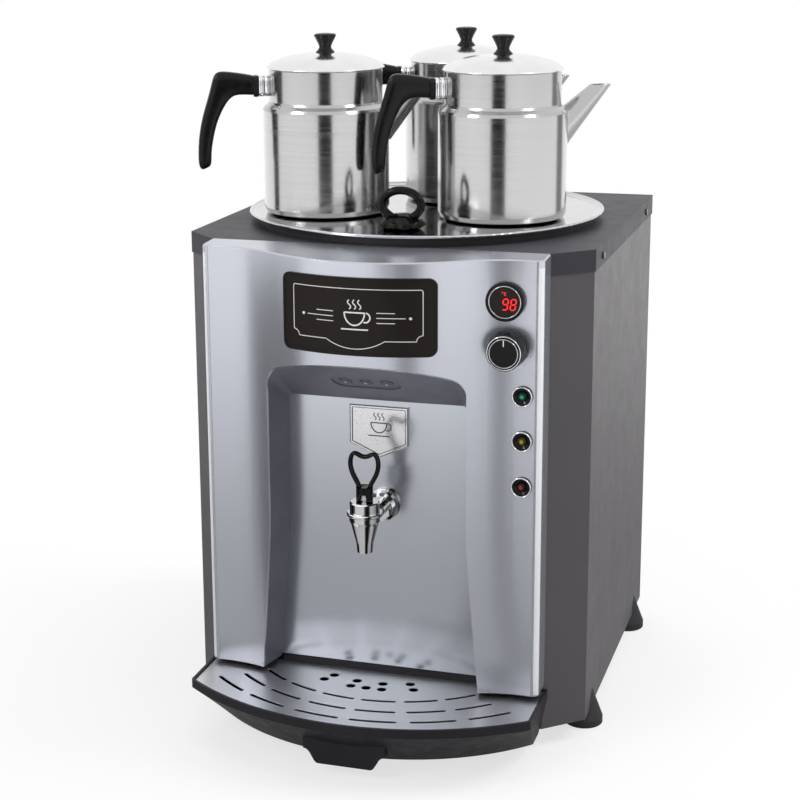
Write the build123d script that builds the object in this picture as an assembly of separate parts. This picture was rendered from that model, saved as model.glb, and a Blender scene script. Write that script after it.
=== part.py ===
from build123d import *
from math import atan, cos, hypot, radians, sin, sqrt, tan
import os

# Countertop tea boiler: an urn with a spring tap over a drip tray, a dished top and three teapots.
# Lengths are in mm. While it is drawn, x runs across, y runs back from the front edges of the side
# panels and z runs up from the table. A "reach" is a distance forward of those front edges.

# ---- Housing ----
housing_width = 430
housing_depth = 370
housing_top = 520
foot_height = 20
sheet = 1.2
chamfer_across = 38
chamfer_forward = 35
cover_flange = 22
front_return = 27
rear_flange = 18
base_flange = 16
upstand_half = 165
cover_screw_places = (38, 320)
cover_screw_drop = 12.5
back_screw_heights = (60, 270, 480)
vent_length = 60
vent_width = 4
vent_x = 100
vent_bottom = 330
vent_pitch = 12
vent_rows = 9
screw_radius = 1.75
screw_head_radius = 3.6
screw_head_height = 2
screw_clearance = 0.1

# ---- Fascia ----
fascia_wall = 2.5
fascia_over_tray = 3.5
column_corner_radius = 7
column_groove = 0.8
column_reach = 67
cove_mid_in = 42
cove_mid_reach = 69
crease_half = 95
crease_reach = 84
bulge_reach = 110
ledge_drop = 3
ledge_bevel = 1.2

# ---- Niche ----
wall_reach = 38
wall_half = 95
wall_top = 361
wall_bottom = 72
wall_corner = 5
wall_crown = 0.5
wall_overlap = 8
side_flare = 0.22
niche_splay = 0.085
knee_height = 225
knee_radius = 730
hood_slope = 0.722
hood_lift_rate = 0.14
corner_growth = 0.19
liner_wall = 2
light_plate_thickness = 1.5
light_plate_margin = 6
light_recess_length = 72
light_recess_width = 28
light_reach = 75
light_pitch = 21.5
light_radius = 7
light_depth = 12

# ---- Name plate and tap badge ----
name_plate_half = 79
name_plate_bottom = 424.5
name_plate_top = 502
name_plate_corner = 8
name_plate_thickness = 1.6
name_plate_rim = 2.2
name_plate_recess = 0.5
badge_x = 3
badge_half = 31.3
badge_top = 356
badge_shoulder = 315
badge_tip = 301
badge_thickness = 4
badge_bevel = 1.2
badge_rim = 2.6
badge_recess = 0.9

# ---- Controls on the right column ----
display_x = 140
display_drop = 42.5
display_radius = 19
display_barrel_radius = 16.5
display_reach = 73
display_window_radius = 15
display_window_recess = 0.8
knob_x = 143.5
display_to_knob = 46.5
knob_radius = 19
knob_face_reach = 92
knob_back_reach = 73
knob_face_radius = 15.8
trim_ring_width = 2
spindle_radius = 3
spindle_clearance = 0.08
bushing_radius = 5
control_size = 36
control_back_reach = 36.5
control_front_reach = 62
lamp_x = 157.5
knob_to_lamps = (47.5, 93, 140)
lamp_radius = 10
lamp_barrel_radius = 8
lamp_lens_radius = 4.5
lamp_dish_radius = 7.5
lamp_dish_depth = 2
lamp_reach = 70
panel_hole_clearance = 0.1

# ---- Tap ----
tap_x = 8
tap_reach = 108
shank_height = 251
shank_radius = 7
shank_bore = 4
shank_end_reach = 14
spout_drop = 28
spout_radius = 8.5
spout_bore = 5.5
spout_straight = 10
cone_length = 20
bowl_radius = 15.5
bowl_height = 8.5
rim_thickness = 3.5
rim_radius = 18
chamber_radius = 10.5
chamber_depth = 19
bonnet_radius = 15
bonnet_height = 11
stem_radius = 2.5
stem_lift = 3
eye_below = 6
eye_above = 2.7
running_clearance = 0.1
seat_cup_radius = 7.5
seat_cup_height = 8.7
spring_radius = 4.2
spring_wire = 0.6
spring_turns = 5
pivot_rise = 7
pivot_radius = 1.6
neck_radius = 8.5
neck_rise = 8.5
neck_front = 3.5
fork_gap = 6.4
loop_height = 36.5
loop_half = 17
loop_section = 5
loop_depth = 8
collar_radius = 17
collar_reach = 52
nut_radius = 12
nut_thickness = 6.5

# ---- Drip tray ----
tray_rim_top = 66
tray_rim_height = 9
tray_bottom = 15
tray_half = 181
tray_corner_reach = 117
tray_reach = 180
tray_rear_reach = 36.5
tray_corner_radius = 5
bowl_bottom_half = 172
bowl_bottom_corner_reach = 62
bowl_bottom_reach = 140
tray_wall = 2.5
tray_rim_width = 3
tray_ledge = 4
grille_thickness = 1.2
grille_clearance = 0.4
grille_below_rim = 1.5
rear_strip_half = 106
lug_half = 27
lug_root_half = 43
lug_bottom = 12
lug_root = 27
lug_top = 40
lug_front_reach = 160
lug_thickness = 10
slot_width = 4.5
slot_rows = ((229, -69), (195, -58), (165, -53))
slot_spans = ((2, 13), (17.3, 28), (32, 42.6))
drain_hole_radius = 5
drain_holes = ((41.5, 61.5), (48.5, 74), (14, 68.7), (16.7, 82.5))
centre_drain_reach = 83
shelf_half = 120
shelf_thickness = 2
shelf_reach = 95
shelf_tab = 45
rest_gap = 0.3

# ---- Feet ----
foot_x = 205
foot_places = (40, 320)
foot_radius = 20.5
foot_straight = 8
foot_apex = 39
foot_apex_radius = 8.8
foot_screw_radius = 2.5
foot_screw_head_radius = 5

# ---- Tank and what it holds ----
tank_radius = 172
tank_centre = 172
tank_bottom = 130
tank_top = 508
tank_wall = 1.5
tank_corner = 12
support_radius = 148
support_width = 24
support_foot = 20
support_sheet = 2
element_height = 165
element_spread = 18
element_tube_radius = 4.2
element_front = 80
element_plug_radius = 20
element_flange_radius = 25
feed_radius = 9.5
feed_nipple_radius = 6.5
feed_socket = 9
terminal_place = (110, 300)
terminal_length = 60
terminal_width = 22
terminal_height = 20
gland_x = 150
gland_height = 60
gland_bore = 4.5
gland_thread_radius = 8
gland_dome_radius = 10
gland_hex_radius = 13
gland_reach = 20

# ---- Dish and filler cap ----
dish_centre = 152
dish_radius = 193
dish_floor = 529
dish_sheet = 1
dish_flat_radius = 184
dish_bead_radius = 1.5
gasket_radius = 184
gasket_width = 8
filler_x = 10
filler_y = 20
neck_outer_radius = 18
neck_wall = 1.5
neck_end = 498
cap_skirt_radius = 25.5
cap_lobes = 8
cap_skirt_bottom = 533
cap_skirt_top = 536.5
cap_dome_top = 545
cap_plug_clearance = 0.3
cap_plug_length = 18
ring_half = 25
ring_top = 573
ring_middle = 556
ring_section = 8
ring_depth = 9

# ---- Teapots ----
pot_places = ((-101, 112, 24), (92, 119, 24), (22, 240, 12))
pot_lower_radius = 68
pot_upper_radius = 61.3
pot_base_corner = 7
pot_shoulder_bottom = 111
pot_shoulder_top = 119
pot_height = 154
pot_sheet = 1.2
lid_radius = 63.3
lid_rise = 14
lid_sheet = 1
lid_skirt_depth = 4
lid_clearance = 0.7
lid_knob_height = 22
lid_knob_radius = 12.3
lid_knob_waist = 5.8
lid_knob_foot = 8.6
spout_apex_out = 146.6
spout_apex_up = 179.2
spout_tilt = 45.6
spout_half_angle = 7.75
spout_mouth = 137.5
spout_sheet = 1
spout_root_run = 128
spout_tip_run = 44
ferrule_out = 74
ferrule_bottom = 126
ferrule_top = 147
ferrule_width = 18
handle_width = 17
handle_edge = 2.5

# ---- Sizes that follow from those above ----
housing_half = housing_width / 2
nose_half = housing_half - chamfer_across
cover_bottom = housing_top - cover_flange
panel_half = housing_half - sheet
fascia_bottom = tray_rim_top + fascia_over_tray
mouth_reach = bulge_reach + 4
spout_tip = shank_height - spout_drop
cone_bottom = spout_tip + spout_straight
cone_top = cone_bottom + cone_length
rim_bottom = cone_top + bowl_height
rim_top = rim_bottom + rim_thickness
chamber_bottom = rim_top - chamber_depth
seat_cup_top = chamber_bottom + rest_gap + seat_cup_height
bonnet_top = rim_top + bonnet_height
pivot_height = bonnet_top + pivot_rise
neck_top = pivot_height + neck_rise
loop_top = neck_top + loop_height
pot_base = dish_floor + rest_gap
display_height = housing_top - display_drop
knob_height = display_height - display_to_knob
lamp_heights = tuple(knob_height - drop for drop in knob_to_lamps)
total_depth = tray_reach + housing_depth + gland_reach
origin_shift = tray_reach - total_depth / 2

os.makedirs("parts", exist_ok=True)


def save(name, shape):
    """Write one piece, moved so that the origin lies under the middle of the whole."""
    export_step(Pos(0, origin_shift, 0) * shape, f"parts/{name}.step")


def group(solids):
    """Several separate solids as one piece."""
    return Part() + solids


def front(reach):
    """Upright plane that faces forward at a reach, with its own x across and its own y up."""
    return Plane.XZ.offset(reach)


def across(x, z, radius, reach_from, reach_to):
    """Cylinder along the depth between two reaches."""
    disc = front(reach_from) * Pos(x, z) * Circle(radius)
    return extrude(disc, amount=reach_to - reach_from)


def upright(x, y, radius, bottom, top):
    """Cylinder along the height."""
    return extrude(Pos(x, y, bottom) * Circle(radius), amount=top - bottom)


def block(x_from, x_to, y_from, y_to, z_from, z_to):
    """Box between three pairs of limits."""
    size = Box(x_to - x_from, y_to - y_from, z_to - z_from)
    return Pos((x_from + x_to) / 2, (y_from + y_to) / 2, (z_from + z_to) / 2) * size


def slab(face, bottom, top):
    """Flat outline raised between two heights."""
    return extrude(Pos(0, 0, bottom) * face, amount=top - bottom)


def turned(points, x=0, y=0):
    """Solid turned about a vertical axis from a profile of radius and height."""
    profile = make_face(Polyline(*points, close=True))
    return Pos(x, y, 0) * revolve(Plane.XZ * profile, Axis.Z)


def turned_forward(points, x, z):
    """Solid turned about an axis along the depth from a profile of radius and reach."""
    profile = make_face(Polyline(*points, close=True))
    return Pos(x, 0, z) * Rot(90, 0, 0) * revolve(Plane.XZ * profile, Axis.Z)


# ---------------------------------------------------------------- housing
def housing_plan(inset, front_reach, back):
    """Plan of the housing, set in from its sides and chamfers, between a reach and a depth."""
    run = hypot(chamfer_across, chamfer_forward)
    normal_x = chamfer_forward / run
    normal_y = chamfer_across / run
    side = housing_half - inset
    corner = inset * (1 - normal_x) / normal_y
    nose = housing_half - (inset + normal_y * front_reach) / normal_x
    right = [(nose, -front_reach), (side, corner), (side, back)]
    left = [(-x, y) for x, y in reversed(right)]
    return make_face(Polyline(*right, *left, close=True))


def cover_screw_axes():
    """Where the screws go through the cover's side flanges."""
    height = housing_top - cover_screw_drop
    return [(side, y, height) for side in (-1, 1) for y in cover_screw_places]


def side_cylinder(side, y, z, radius, x_from, x_to):
    """Cylinder across the housing on one side, between two distances from the middle."""
    disc = Plane.YZ.offset(side * x_from) * Pos(y, z) * Circle(radius)
    return extrude(disc, amount=side * (x_to - x_from))


def side_screw_holes():
    """Holes for the cover's screws, through flange and panel."""
    radius = screw_radius + screw_clearance
    inner = housing_half - 4 * sheet
    outer = housing_half + 1
    return [side_cylinder(s, y, z, radius, inner, outer) for s, y, z in cover_screw_axes()]


def back_screw_places():
    """Where the screws go through the back panel."""
    x = panel_half - sheet - rear_flange / 2
    return [(side * x, z) for side in (-1, 1) for z in back_screw_heights]


def back_screw_holes():
    """Holes for the back panel's screws."""
    radius = screw_radius + screw_clearance
    outside = -housing_depth - 1
    inside = -housing_depth + 5 * sheet
    return [across(x, z, radius, outside, inside) for x, z in back_screw_places()]


def top_cover():
    """Lid of the housing with its down-turned flange, open towards the fascia."""
    outer = slab(housing_plan(0, chamfer_forward, housing_depth), cover_bottom, housing_top)
    inner_plan = housing_plan(sheet, chamfer_forward + 10, housing_depth - sheet)
    cover = outer - slab(inner_plan, cover_bottom - 1, housing_top - sheet)
    cover -= upright(filler_x, filler_y, neck_outer_radius + 3, cover_bottom, housing_top + 1)
    return cover - side_screw_holes()


def side_panel():
    """Right side panel: one bent sheet with its chamfer, front return and rear flange."""
    back = housing_depth - 2 * sheet
    outer = slab(housing_plan(sheet, chamfer_forward, back), foot_height, housing_top - sheet)
    inner_plan = housing_plan(2 * sheet, chamfer_forward - sheet, back - sheet)
    ring = outer - slab(inner_plan, foot_height - 1, housing_top)
    middle = housing_depth / 2
    front_part = block(nose_half - front_return, housing_half, -chamfer_forward, middle,
                       foot_height, housing_top)
    rear_part = block(panel_half - sheet - rear_flange, housing_half, middle, back,
                      foot_height, housing_top)
    panel = ring & (front_part + rear_part)
    return panel - side_screw_holes() - back_screw_holes()


def back_panel():
    """Flat back sheet with two fields of vent slots and the hole of the cable gland."""
    face = -(housing_depth - sheet)
    plan = Pos(0, (foot_height + housing_top - sheet) / 2)
    size = Rectangle(2 * panel_half, housing_top - sheet - foot_height)
    panel = extrude(front(face) * plan * size, amount=sheet)
    vent = SlotOverall(vent_length, vent_width)
    vents = [Pos(side * vent_x, vent_bottom + row * vent_pitch) * vent
             for side in (-1, 1) for row in range(vent_rows)]
    panel -= extrude(front(face - 1) * (Sketch() + vents), amount=4 * sheet)
    radius = gland_thread_radius + screw_clearance
    panel -= across(gland_x, gland_height, radius, face - 1, face + 4 * sheet)
    return panel - back_screw_holes()


def base_plate():
    """Bottom pan with its rim, and the upstand that closes the front under the fascia."""
    reach = chamfer_forward - sheet
    back = housing_depth - 3 * sheet
    pan = slab(housing_plan(2 * sheet, reach, back), foot_height, foot_height + base_flange)
    inner = housing_plan(3 * sheet, reach - sheet, back - sheet)
    pan -= slab(inner, foot_height + sheet, foot_height + base_flange + 1)
    pan += block(-upstand_half, upstand_half, -reach, sheet - reach, foot_height, tray_rim_top)
    for x, y in foot_centres():
        pan -= upright(x, y, foot_screw_radius + screw_clearance, 0, foot_height + 2 * sheet)
    return pan


def foot_centres():
    """Where the four feet stand."""
    return [(side * foot_x, y) for side in (-1, 1) for y in foot_places]


def foot(x, y):
    """Round foot with a tapered back that leans up the outside of the panel."""
    profile = [(0, 0), (foot_radius - 1, 0), (foot_radius, 1), (foot_radius, foot_straight),
               (foot_apex_radius, foot_apex), (0, foot_apex)]
    whole = turned(profile, x, y)
    whole -= slab(housing_plan(sheet, chamfer_forward, housing_depth), foot_height, foot_apex + 1)
    whole -= upright(x, y, foot_screw_head_radius + 1, -1, foot_height / 2)
    return whole - upright(x, y, foot_screw_radius + screw_clearance, 0, foot_height + 1)


def foot_screw(x, y):
    """Pan-head screw that holds a foot to the base plate."""
    recess = foot_height / 2
    head = upright(x, y, foot_screw_head_radius, recess - 4, recess)
    return head + upright(x, y, foot_screw_radius, recess, foot_height + 5 * sheet)


def case_screw_side(side, y, z):
    """Screw through the cover's flange."""
    head = side_cylinder(side, y, z, screw_head_radius, housing_half,
                         housing_half + screw_head_height)
    return head + side_cylinder(side, y, z, screw_radius, housing_half - 4 * sheet, housing_half)


def case_screw_back(x, z):
    """Screw through the back panel."""
    face = -(housing_depth - sheet)
    head = across(x, z, screw_head_radius, face - screw_head_height, face)
    return head + across(x, z, screw_radius, face, face + 3 * sheet)


def case_screws():
    """All screws of the housing's outer skin."""
    side = [case_screw_side(s, y, z) for s, y, z in cover_screw_axes()]
    return group(side + [case_screw_back(x, z) for x, z in back_screw_places()])


# ---------------------------------------------------------------- fascia and niche
def fascia_plan():
    """Plan of the fascia's outside: flat sides, hollow columns and a bulged middle."""
    corner_centre = (nose_half - column_corner_radius, column_corner_radius - column_reach)
    column_edge = (nose_half - column_corner_radius, -column_reach)
    crease = (crease_half, -crease_reach)
    side = Line((nose_half, -chamfer_forward), (nose_half, corner_centre[1]))
    corner = CenterArc(corner_centre, column_corner_radius, 0, -90)
    cove = ThreePointArc(column_edge, (nose_half - cove_mid_in, -cove_mid_reach), crease)
    bulge = ThreePointArc(crease, (0, -bulge_reach), (-crease_half, -crease_reach))
    back = Line((nose_half, -chamfer_forward), (-nose_half, -chamfer_forward))
    right = [side, corner, cove]
    left = [mirror(edge, Plane.YZ) for edge in right]
    return make_face(Curve() + right + left + [bulge, back])


def fascia_space():
    """Space inside the fascia's wall, open to the back."""
    inner = offset(fascia_plan(), -fascia_wall, kind=Kind.INTERSECTION)
    half = nose_half - fascia_wall
    behind = Pos(0, -chamfer_forward - fascia_wall / 2) * Rectangle(2 * half, 2 * fascia_wall)
    top = housing_top - ledge_drop - fascia_wall
    return slab(inner + behind, fascia_bottom - 1, top)


def fascia_block():
    """Solid outside form of the fascia, with its top ledge falling to the front."""
    whole = slab(fascia_plan(), fascia_bottom, housing_top)
    far = bulge_reach + 20
    drop = ledge_drop * (far - chamfer_forward) / (bulge_reach - chamfer_forward)
    wedge = Polyline((-chamfer_forward, housing_top), (-far, housing_top - drop),
                     (-far, housing_top + 5), (-chamfer_forward, housing_top + 5), close=True)
    side = Plane.YZ.offset(-housing_half) * make_face(wedge)
    whole -= extrude(side, amount=housing_width)
    ledge = whole.faces().sort_by(Axis.Z)[-1]
    rim = [edge for edge in ledge.edges() if edge.center().Y < -chamfer_forward - 1]
    return chamfer(rim, ledge_bevel)


def niche_profile(reach, grow, bottom):
    """Outline of the niche at a reach: splayed foot, straight sides and an arched top."""
    forward = reach - wall_reach
    half = wall_half + side_flare * forward + grow
    foot_half = half + niche_splay * (knee_height - bottom)
    crown = wall_top + hood_slope * forward + grow
    shoulder = crown + wall_crown + hood_lift_rate * forward
    corner = wall_corner + corner_growth * forward + grow
    right = [(half, shoulder), (half, knee_height), (foot_half, bottom)]
    left = [(-x, z) for x, z in reversed(right)]
    top = ThreePointArc(left[-1], (0, crown), right[0])
    face = make_face(Curve() + [Polyline(*right, *left), top])
    upper = [v for v in face.vertices() if v.Y > knee_height + 1]
    face = fillet(upper, corner)
    knees = [v for v in face.vertices() if abs(v.Y - knee_height) < 1]
    return front(reach) * fillet(knees, knee_radius)


def niche_form(grow, bottom):
    """Solid form of the niche from its back wall to beyond the fascia."""
    return loft([niche_profile(wall_reach, grow, bottom),
                 niche_profile(mouth_reach, grow, bottom)], ruled=True)


def hood_plane():
    """Plane on the hood at the lights, facing down into the niche."""
    tilt = atan(hood_slope)
    height = wall_top + hood_slope * (light_reach - wall_reach)
    return Plane(origin=(0, -light_reach, height), x_dir=(1, 0, 0),
                 z_dir=(0, -sin(tilt), -cos(tilt)))


def hood_oval(margin):
    """Oval through the hood, grown by a margin."""
    slot = SlotOverall(light_recess_length + 2 * margin, light_recess_width + 2 * margin)
    return extrude(hood_plane() * slot, amount=light_depth, both=True)


def light_places():
    """Where the three lights sit along the hood."""
    return (-light_pitch, 0, light_pitch)


def niche_liner(space):
    """Moulded liner between the fascia's opening and the back wall."""
    shell = niche_form(liner_wall, fascia_bottom) - niche_form(0, fascia_bottom - 1)
    return (shell & space) - hood_oval(0)


def hood_light_plate():
    """Plate behind the oval of the hood that carries the lights."""
    outer = niche_form(liner_wall + light_plate_thickness, fascia_bottom)
    plate = (outer - niche_form(liner_wall, fascia_bottom - 1)) & hood_oval(light_plate_margin)
    plane = hood_plane()
    for x in light_places():
        hole = Pos(x, 0) * Circle(light_radius + panel_hole_clearance)
        plate -= extrude(plane * hole, amount=light_depth, both=True)
    return plate


def hood_light_lens(x):
    """Clear domed lens of one light with its holder behind the plate."""
    dome = liner_wall - 0.4
    profile = make_face(Polyline((0, -light_depth), (light_radius, -light_depth),
                                 (light_radius, -dome), (light_radius * 0.6, -dome / 3),
                                 (0, 0), close=True))
    lens = revolve(Plane.XZ * profile, Axis.Z)
    return hood_plane() * Pos(x, 0, 0) * lens


def niche_back_panel():
    """Flat steel wall of the niche, behind the liner's rear edge."""
    face = niche_profile(wall_reach, wall_overlap, wall_bottom)
    panel = extrude(face, amount=-sheet)
    return panel - across(tap_x, shank_height, shank_radius + panel_hole_clearance, 0, tap_reach)


def front_fascia(space):
    """Moulded front: coved columns, bulged middle, arched opening and holes for the controls."""
    shell = fascia_block() - space - niche_form(0, fascia_bottom - 1)
    clear = panel_hole_clearance
    inside = chamfer_forward
    shell -= across(display_x, display_height, display_barrel_radius + clear, inside, bulge_reach)
    shell -= across(knob_x, knob_height, bushing_radius + clear, inside, bulge_reach)
    for height in lamp_heights:
        shell -= across(lamp_x, height, lamp_barrel_radius + clear, inside, bulge_reach)
    groove = Rot(0, 0, 45) * Rectangle(column_groove, column_groove)
    edge = nose_half - column_corner_radius
    for x in (-edge, edge):
        shell -= slab(Pos(x, -column_reach) * groove, fascia_bottom - 1, housing_top + 1)
    return shell


def bulge_circle():
    """Centre and radius of the fascia's bulge in plan."""
    rise = bulge_reach - crease_reach
    radius = (crease_half ** 2 + rise ** 2) / (2 * rise)
    return radius - bulge_reach, radius


def name_plate():
    """Bent plate with a raised rim, on the bulge over the niche."""
    centre, radius = bulge_circle()
    height = name_plate_top - name_plate_bottom
    middle = (name_plate_top + name_plate_bottom) / 2
    outline = RectangleRounded(2 * name_plate_half, height, name_plate_corner)
    field = RectangleRounded(2 * (name_plate_half - name_plate_rim), height - 2 * name_plate_rim,
                             name_plate_corner - name_plate_rim)
    prism = extrude(front(0) * Pos(0, middle) * outline, amount=mouth_reach)
    pocket = extrude(front(0) * Pos(0, middle) * field, amount=mouth_reach)
    bottom = name_plate_bottom - 1
    top = name_plate_top + 1
    seat = radius + rest_gap
    inner = upright(0, centre, seat, bottom, top)
    floor = upright(0, centre, seat + name_plate_thickness - name_plate_recess, bottom, top)
    outer = upright(0, centre, seat + name_plate_thickness, bottom, top)
    return (outer - inner) & prism - (pocket - floor)


def tap_badge():
    """Five-sided badge with a raised rim, on the wall above the tap."""
    points = [(-badge_half, badge_top), (badge_half, badge_top), (badge_half, badge_shoulder),
              (0, badge_tip), (-badge_half, badge_shoulder)]
    outline = Pos(badge_x, 0) * make_face(Polyline(*points, close=True))
    badge = extrude(front(wall_reach) * outline, amount=badge_thickness)
    badge = chamfer(badge.faces().sort_by(Axis.Y)[0].edges(), badge_bevel)
    field = offset(outline, -badge_rim, kind=Kind.INTERSECTION)
    face = wall_reach + badge_thickness
    return badge - extrude(front(face - badge_recess) * field, amount=badge_thickness)


# ---------------------------------------------------------------- controls
def seated_flange(x, z, radius, reach):
    """Round flange whose back follows the fascia."""
    return across(x, z, radius, column_reach - 8, reach) - fascia_block()


def display_bezel():
    """Bezel of the temperature display with its module behind the fascia."""
    bezel = seated_flange(display_x, display_height, display_radius, display_reach)
    bezel += across(display_x, display_height, display_barrel_radius, column_reach - 20,
                    display_reach)
    seat = display_reach - display_window_recess - 2
    return bezel - across(display_x, display_height, display_window_radius, seat, display_reach)


def display_window():
    """Dark window in the bezel."""
    seat = display_reach - display_window_recess - 2
    return across(display_x, display_height, display_window_radius - panel_hole_clearance, seat,
                  display_reach - display_window_recess)


def thermostat_knob():
    """Skirted knob with a raised face."""
    back = knob_back_reach
    face = knob_face_reach
    profile = [(0, back), (knob_radius - 0.8, back), (knob_radius, back + 1.5),
               (knob_face_radius + trim_ring_width, face - 7), (knob_face_radius, face - 7),
               (knob_face_radius, face - 1.2), (knob_face_radius - 1.2, face), (0, face)]
    knob = turned_forward(profile, knob_x, knob_height)
    return knob - across(knob_x, knob_height, spindle_radius, back - 1, face - 7)


def knob_trim_ring():
    """Bright ring round the knob's face."""
    face = knob_face_reach
    inner = knob_face_radius
    outer = knob_face_radius + trim_ring_width
    profile = [(inner, face - 7), (outer, face - 7), (outer, face - 2.2), (outer - 0.8, face - 1.4),
               (inner, face - 1.4)]
    return turned_forward(profile, knob_x, knob_height)


def thermostat_spindle():
    """Spindle from the control into the knob."""
    return across(knob_x, knob_height, spindle_radius, control_back_reach + 6, knob_face_reach - 7)


def thermostat_control():
    """Thermostat body behind the fascia with its bushing."""
    middle = (control_back_reach + control_front_reach) / 2
    depth = control_front_reach - control_back_reach
    body = Pos(knob_x, -middle, knob_height) * Box(control_size, depth, control_size)
    body += across(knob_x, knob_height, bushing_radius + 3, control_front_reach,
                   column_reach - fascia_wall - 0.4)
    body += across(knob_x, knob_height, bushing_radius, control_front_reach, knob_back_reach - 2)
    bore = spindle_radius + spindle_clearance
    return body - across(knob_x, knob_height, bore, control_back_reach + 6, knob_back_reach)


def lamp_body(height):
    """Bezel and barrel of one signal lamp."""
    body = seated_flange(lamp_x, height, lamp_radius, lamp_reach)
    body += across(lamp_x, height, lamp_barrel_radius, column_reach - 22, lamp_reach)
    bore = lamp_lens_radius + panel_hole_clearance
    seat = lamp_reach - lamp_dish_depth - 5
    dish = [(0, seat), (bore, seat), (bore, lamp_reach - lamp_dish_depth),
            (lamp_dish_radius, lamp_reach), (lamp_dish_radius, lamp_reach + 1), (0, lamp_reach + 1)]
    return body - turned_forward(dish, lamp_x, height)


def lamp_lens(height):
    """Domed lens of one signal lamp."""
    seat = lamp_reach - lamp_dish_depth - 5
    profile = [(0, seat), (lamp_lens_radius, seat), (lamp_lens_radius, seat + 5),
               (lamp_lens_radius * 0.75, seat + 6.2), (0, seat + 6.8)]
    return turned_forward(profile, lamp_x, height)


# ---------------------------------------------------------------- tap
def tap_body():
    """Turned tap body with its shank through the wall."""
    profile = [(0, spout_tip), (spout_radius - 0.7, spout_tip), (spout_radius, cone_bottom - 2),
               (spout_radius + 0.3, cone_bottom), (bowl_radius - 1.5, cone_top),
               (bowl_radius, cone_top + 3), (bowl_radius, rim_bottom),
               (rim_radius - 0.8, rim_bottom), (rim_radius, rim_bottom + 0.8),
               (rim_radius, rim_top - 0.8), (rim_radius - 0.8, rim_top), (0, rim_top)]
    body = turned(profile, tap_x, -tap_reach)
    body += across(tap_x, shank_height, shank_radius, shank_end_reach, tap_reach)
    body -= upright(tap_x, -tap_reach, chamber_radius, chamber_bottom, rim_top + 1)
    body -= upright(tap_x, -tap_reach, spout_bore, spout_tip - 1, chamber_bottom)
    return body - across(tap_x, shank_height, shank_bore, shank_end_reach - 1, tap_reach)


def tap_bonnet():
    """Bonnet that closes the chamber and guides the stem."""
    plug = chamber_radius - running_clearance
    pocket = spring_radius + 2
    bore = stem_radius + running_clearance
    profile = [(pocket, rim_top - 4), (plug, rim_top - 4), (plug, rim_top),
               (bonnet_radius, rim_top), (bonnet_radius, bonnet_top - 1.2),
               (bonnet_radius - 1.2, bonnet_top), (bore, bonnet_top), (bore, bonnet_top - 4),
               (pocket, bonnet_top - 4)]
    return turned(profile, tap_x, -tap_reach)


def tap_stem():
    """Stem with its spring flange and a slotted eye on the pivot pin."""
    flange = spring_radius + 1.6
    profile = [(0, seat_cup_top), (flange, seat_cup_top), (flange, seat_cup_top + 2),
               (stem_radius, seat_cup_top + 2), (stem_radius, pivot_height - 5),
               (0, pivot_height - 5)]
    stem = turned(profile, tap_x, -tap_reach)
    eye = block(tap_x - stem_radius, tap_x + stem_radius, -tap_reach - stem_radius,
                stem_radius - tap_reach, pivot_height - eye_below, pivot_height + eye_above)
    slot_radius = pivot_radius + running_clearance
    for step in (0, -stem_lift):
        eye -= side_cylinder(1, -tap_reach, pivot_height + step, slot_radius, 0, 2 * tap_x)
    gap = Box(4 * stem_radius, 2 * slot_radius, stem_lift)
    return stem + (eye - Pos(tap_x, -tap_reach, pivot_height - stem_lift / 2) * gap)


def tap_seat_cup():
    """Rubber cup on the stem that closes the outlet."""
    seat = chamber_bottom + rest_gap
    profile = [(0, seat), (seat_cup_radius, seat), (seat_cup_radius, seat + 3),
               (seat_cup_radius - 2, seat_cup_top), (0, seat_cup_top)]
    return turned(profile, tap_x, -tap_reach)


def tap_spring():
    """Closing spring between the stem's flange and the bonnet."""
    bottom = seat_cup_top + 2 + spring_wire + 0.1
    top = bonnet_top - 4 - spring_wire - 0.1
    rise = top - bottom
    path = Helix(pitch=rise / spring_turns, height=rise, radius=spring_radius)
    wire = sweep(Plane(path @ 0, z_dir=path % 0) * RegularPolygon(spring_wire, 6), path)
    return Pos(tap_x, -tap_reach, bottom) * wire


def tap_handle():
    """Forked neck and open heart-shaped loop."""
    neck = upright(tap_x, -tap_reach, neck_radius, bonnet_top, neck_top)
    swing = pivot_height - bonnet_top - rest_gap
    round_end = side_cylinder(1, -tap_reach, pivot_height, swing, tap_x - 10, tap_x + 10)
    upper = block(tap_x - 10, tap_x + 10, -tap_reach - 10, 10 - tap_reach, pivot_height, neck_top)
    neck = neck & (round_end + upper)
    west = tap_x - fork_gap / 2
    east = tap_x + fork_gap / 2
    behind = 10 - tap_reach
    neck -= block(west, east, -tap_reach - 10, behind, bonnet_top - 1, pivot_height + 1)
    neck -= block(west, east, neck_front - neck_radius - tap_reach, behind, pivot_height,
                  neck_top - 1)
    neck -= side_cylinder(1, -tap_reach, pivot_height, pivot_radius, tap_x - 10, tap_x + 10)
    loop = heart(0) - heart(loop_section)
    loop = extrude(front(tap_reach) * Pos(tap_x, 0) * loop, amount=loop_depth / 2, both=True)
    return neck + loop


def heart(inset):
    """Outline of the loop, or of its finger hole when set in."""
    half = loop_half - inset
    top = loop_top - 1.6 * inset
    dip = top - 5 + 0.8 * inset
    bottom = neck_top - 1 + 0.6 * inset
    foot_half = neck_radius - 1 - 0.7 * inset
    widest = loop_top - 14
    horn = half - 4
    side = Spline((foot_half, bottom), (half, widest), (horn, top),
                  tangents=[(0.6, 1), (-0.6, 1)])
    crown = Spline((horn, top), (0, dip), (-horn, top), tangents=[(-1, 0.1), (-1, -0.1)])
    base = Line((-foot_half, bottom), (foot_half, bottom))
    return make_face(Curve() + [side, mirror(side, Plane.YZ), crown, base])


def tap_pivot_pin():
    """Pin through the fork and the stem's eye."""
    half = neck_radius - 0.4
    return side_cylinder(1, -tap_reach, pivot_height, pivot_radius, tap_x - half, tap_x + half)


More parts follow.
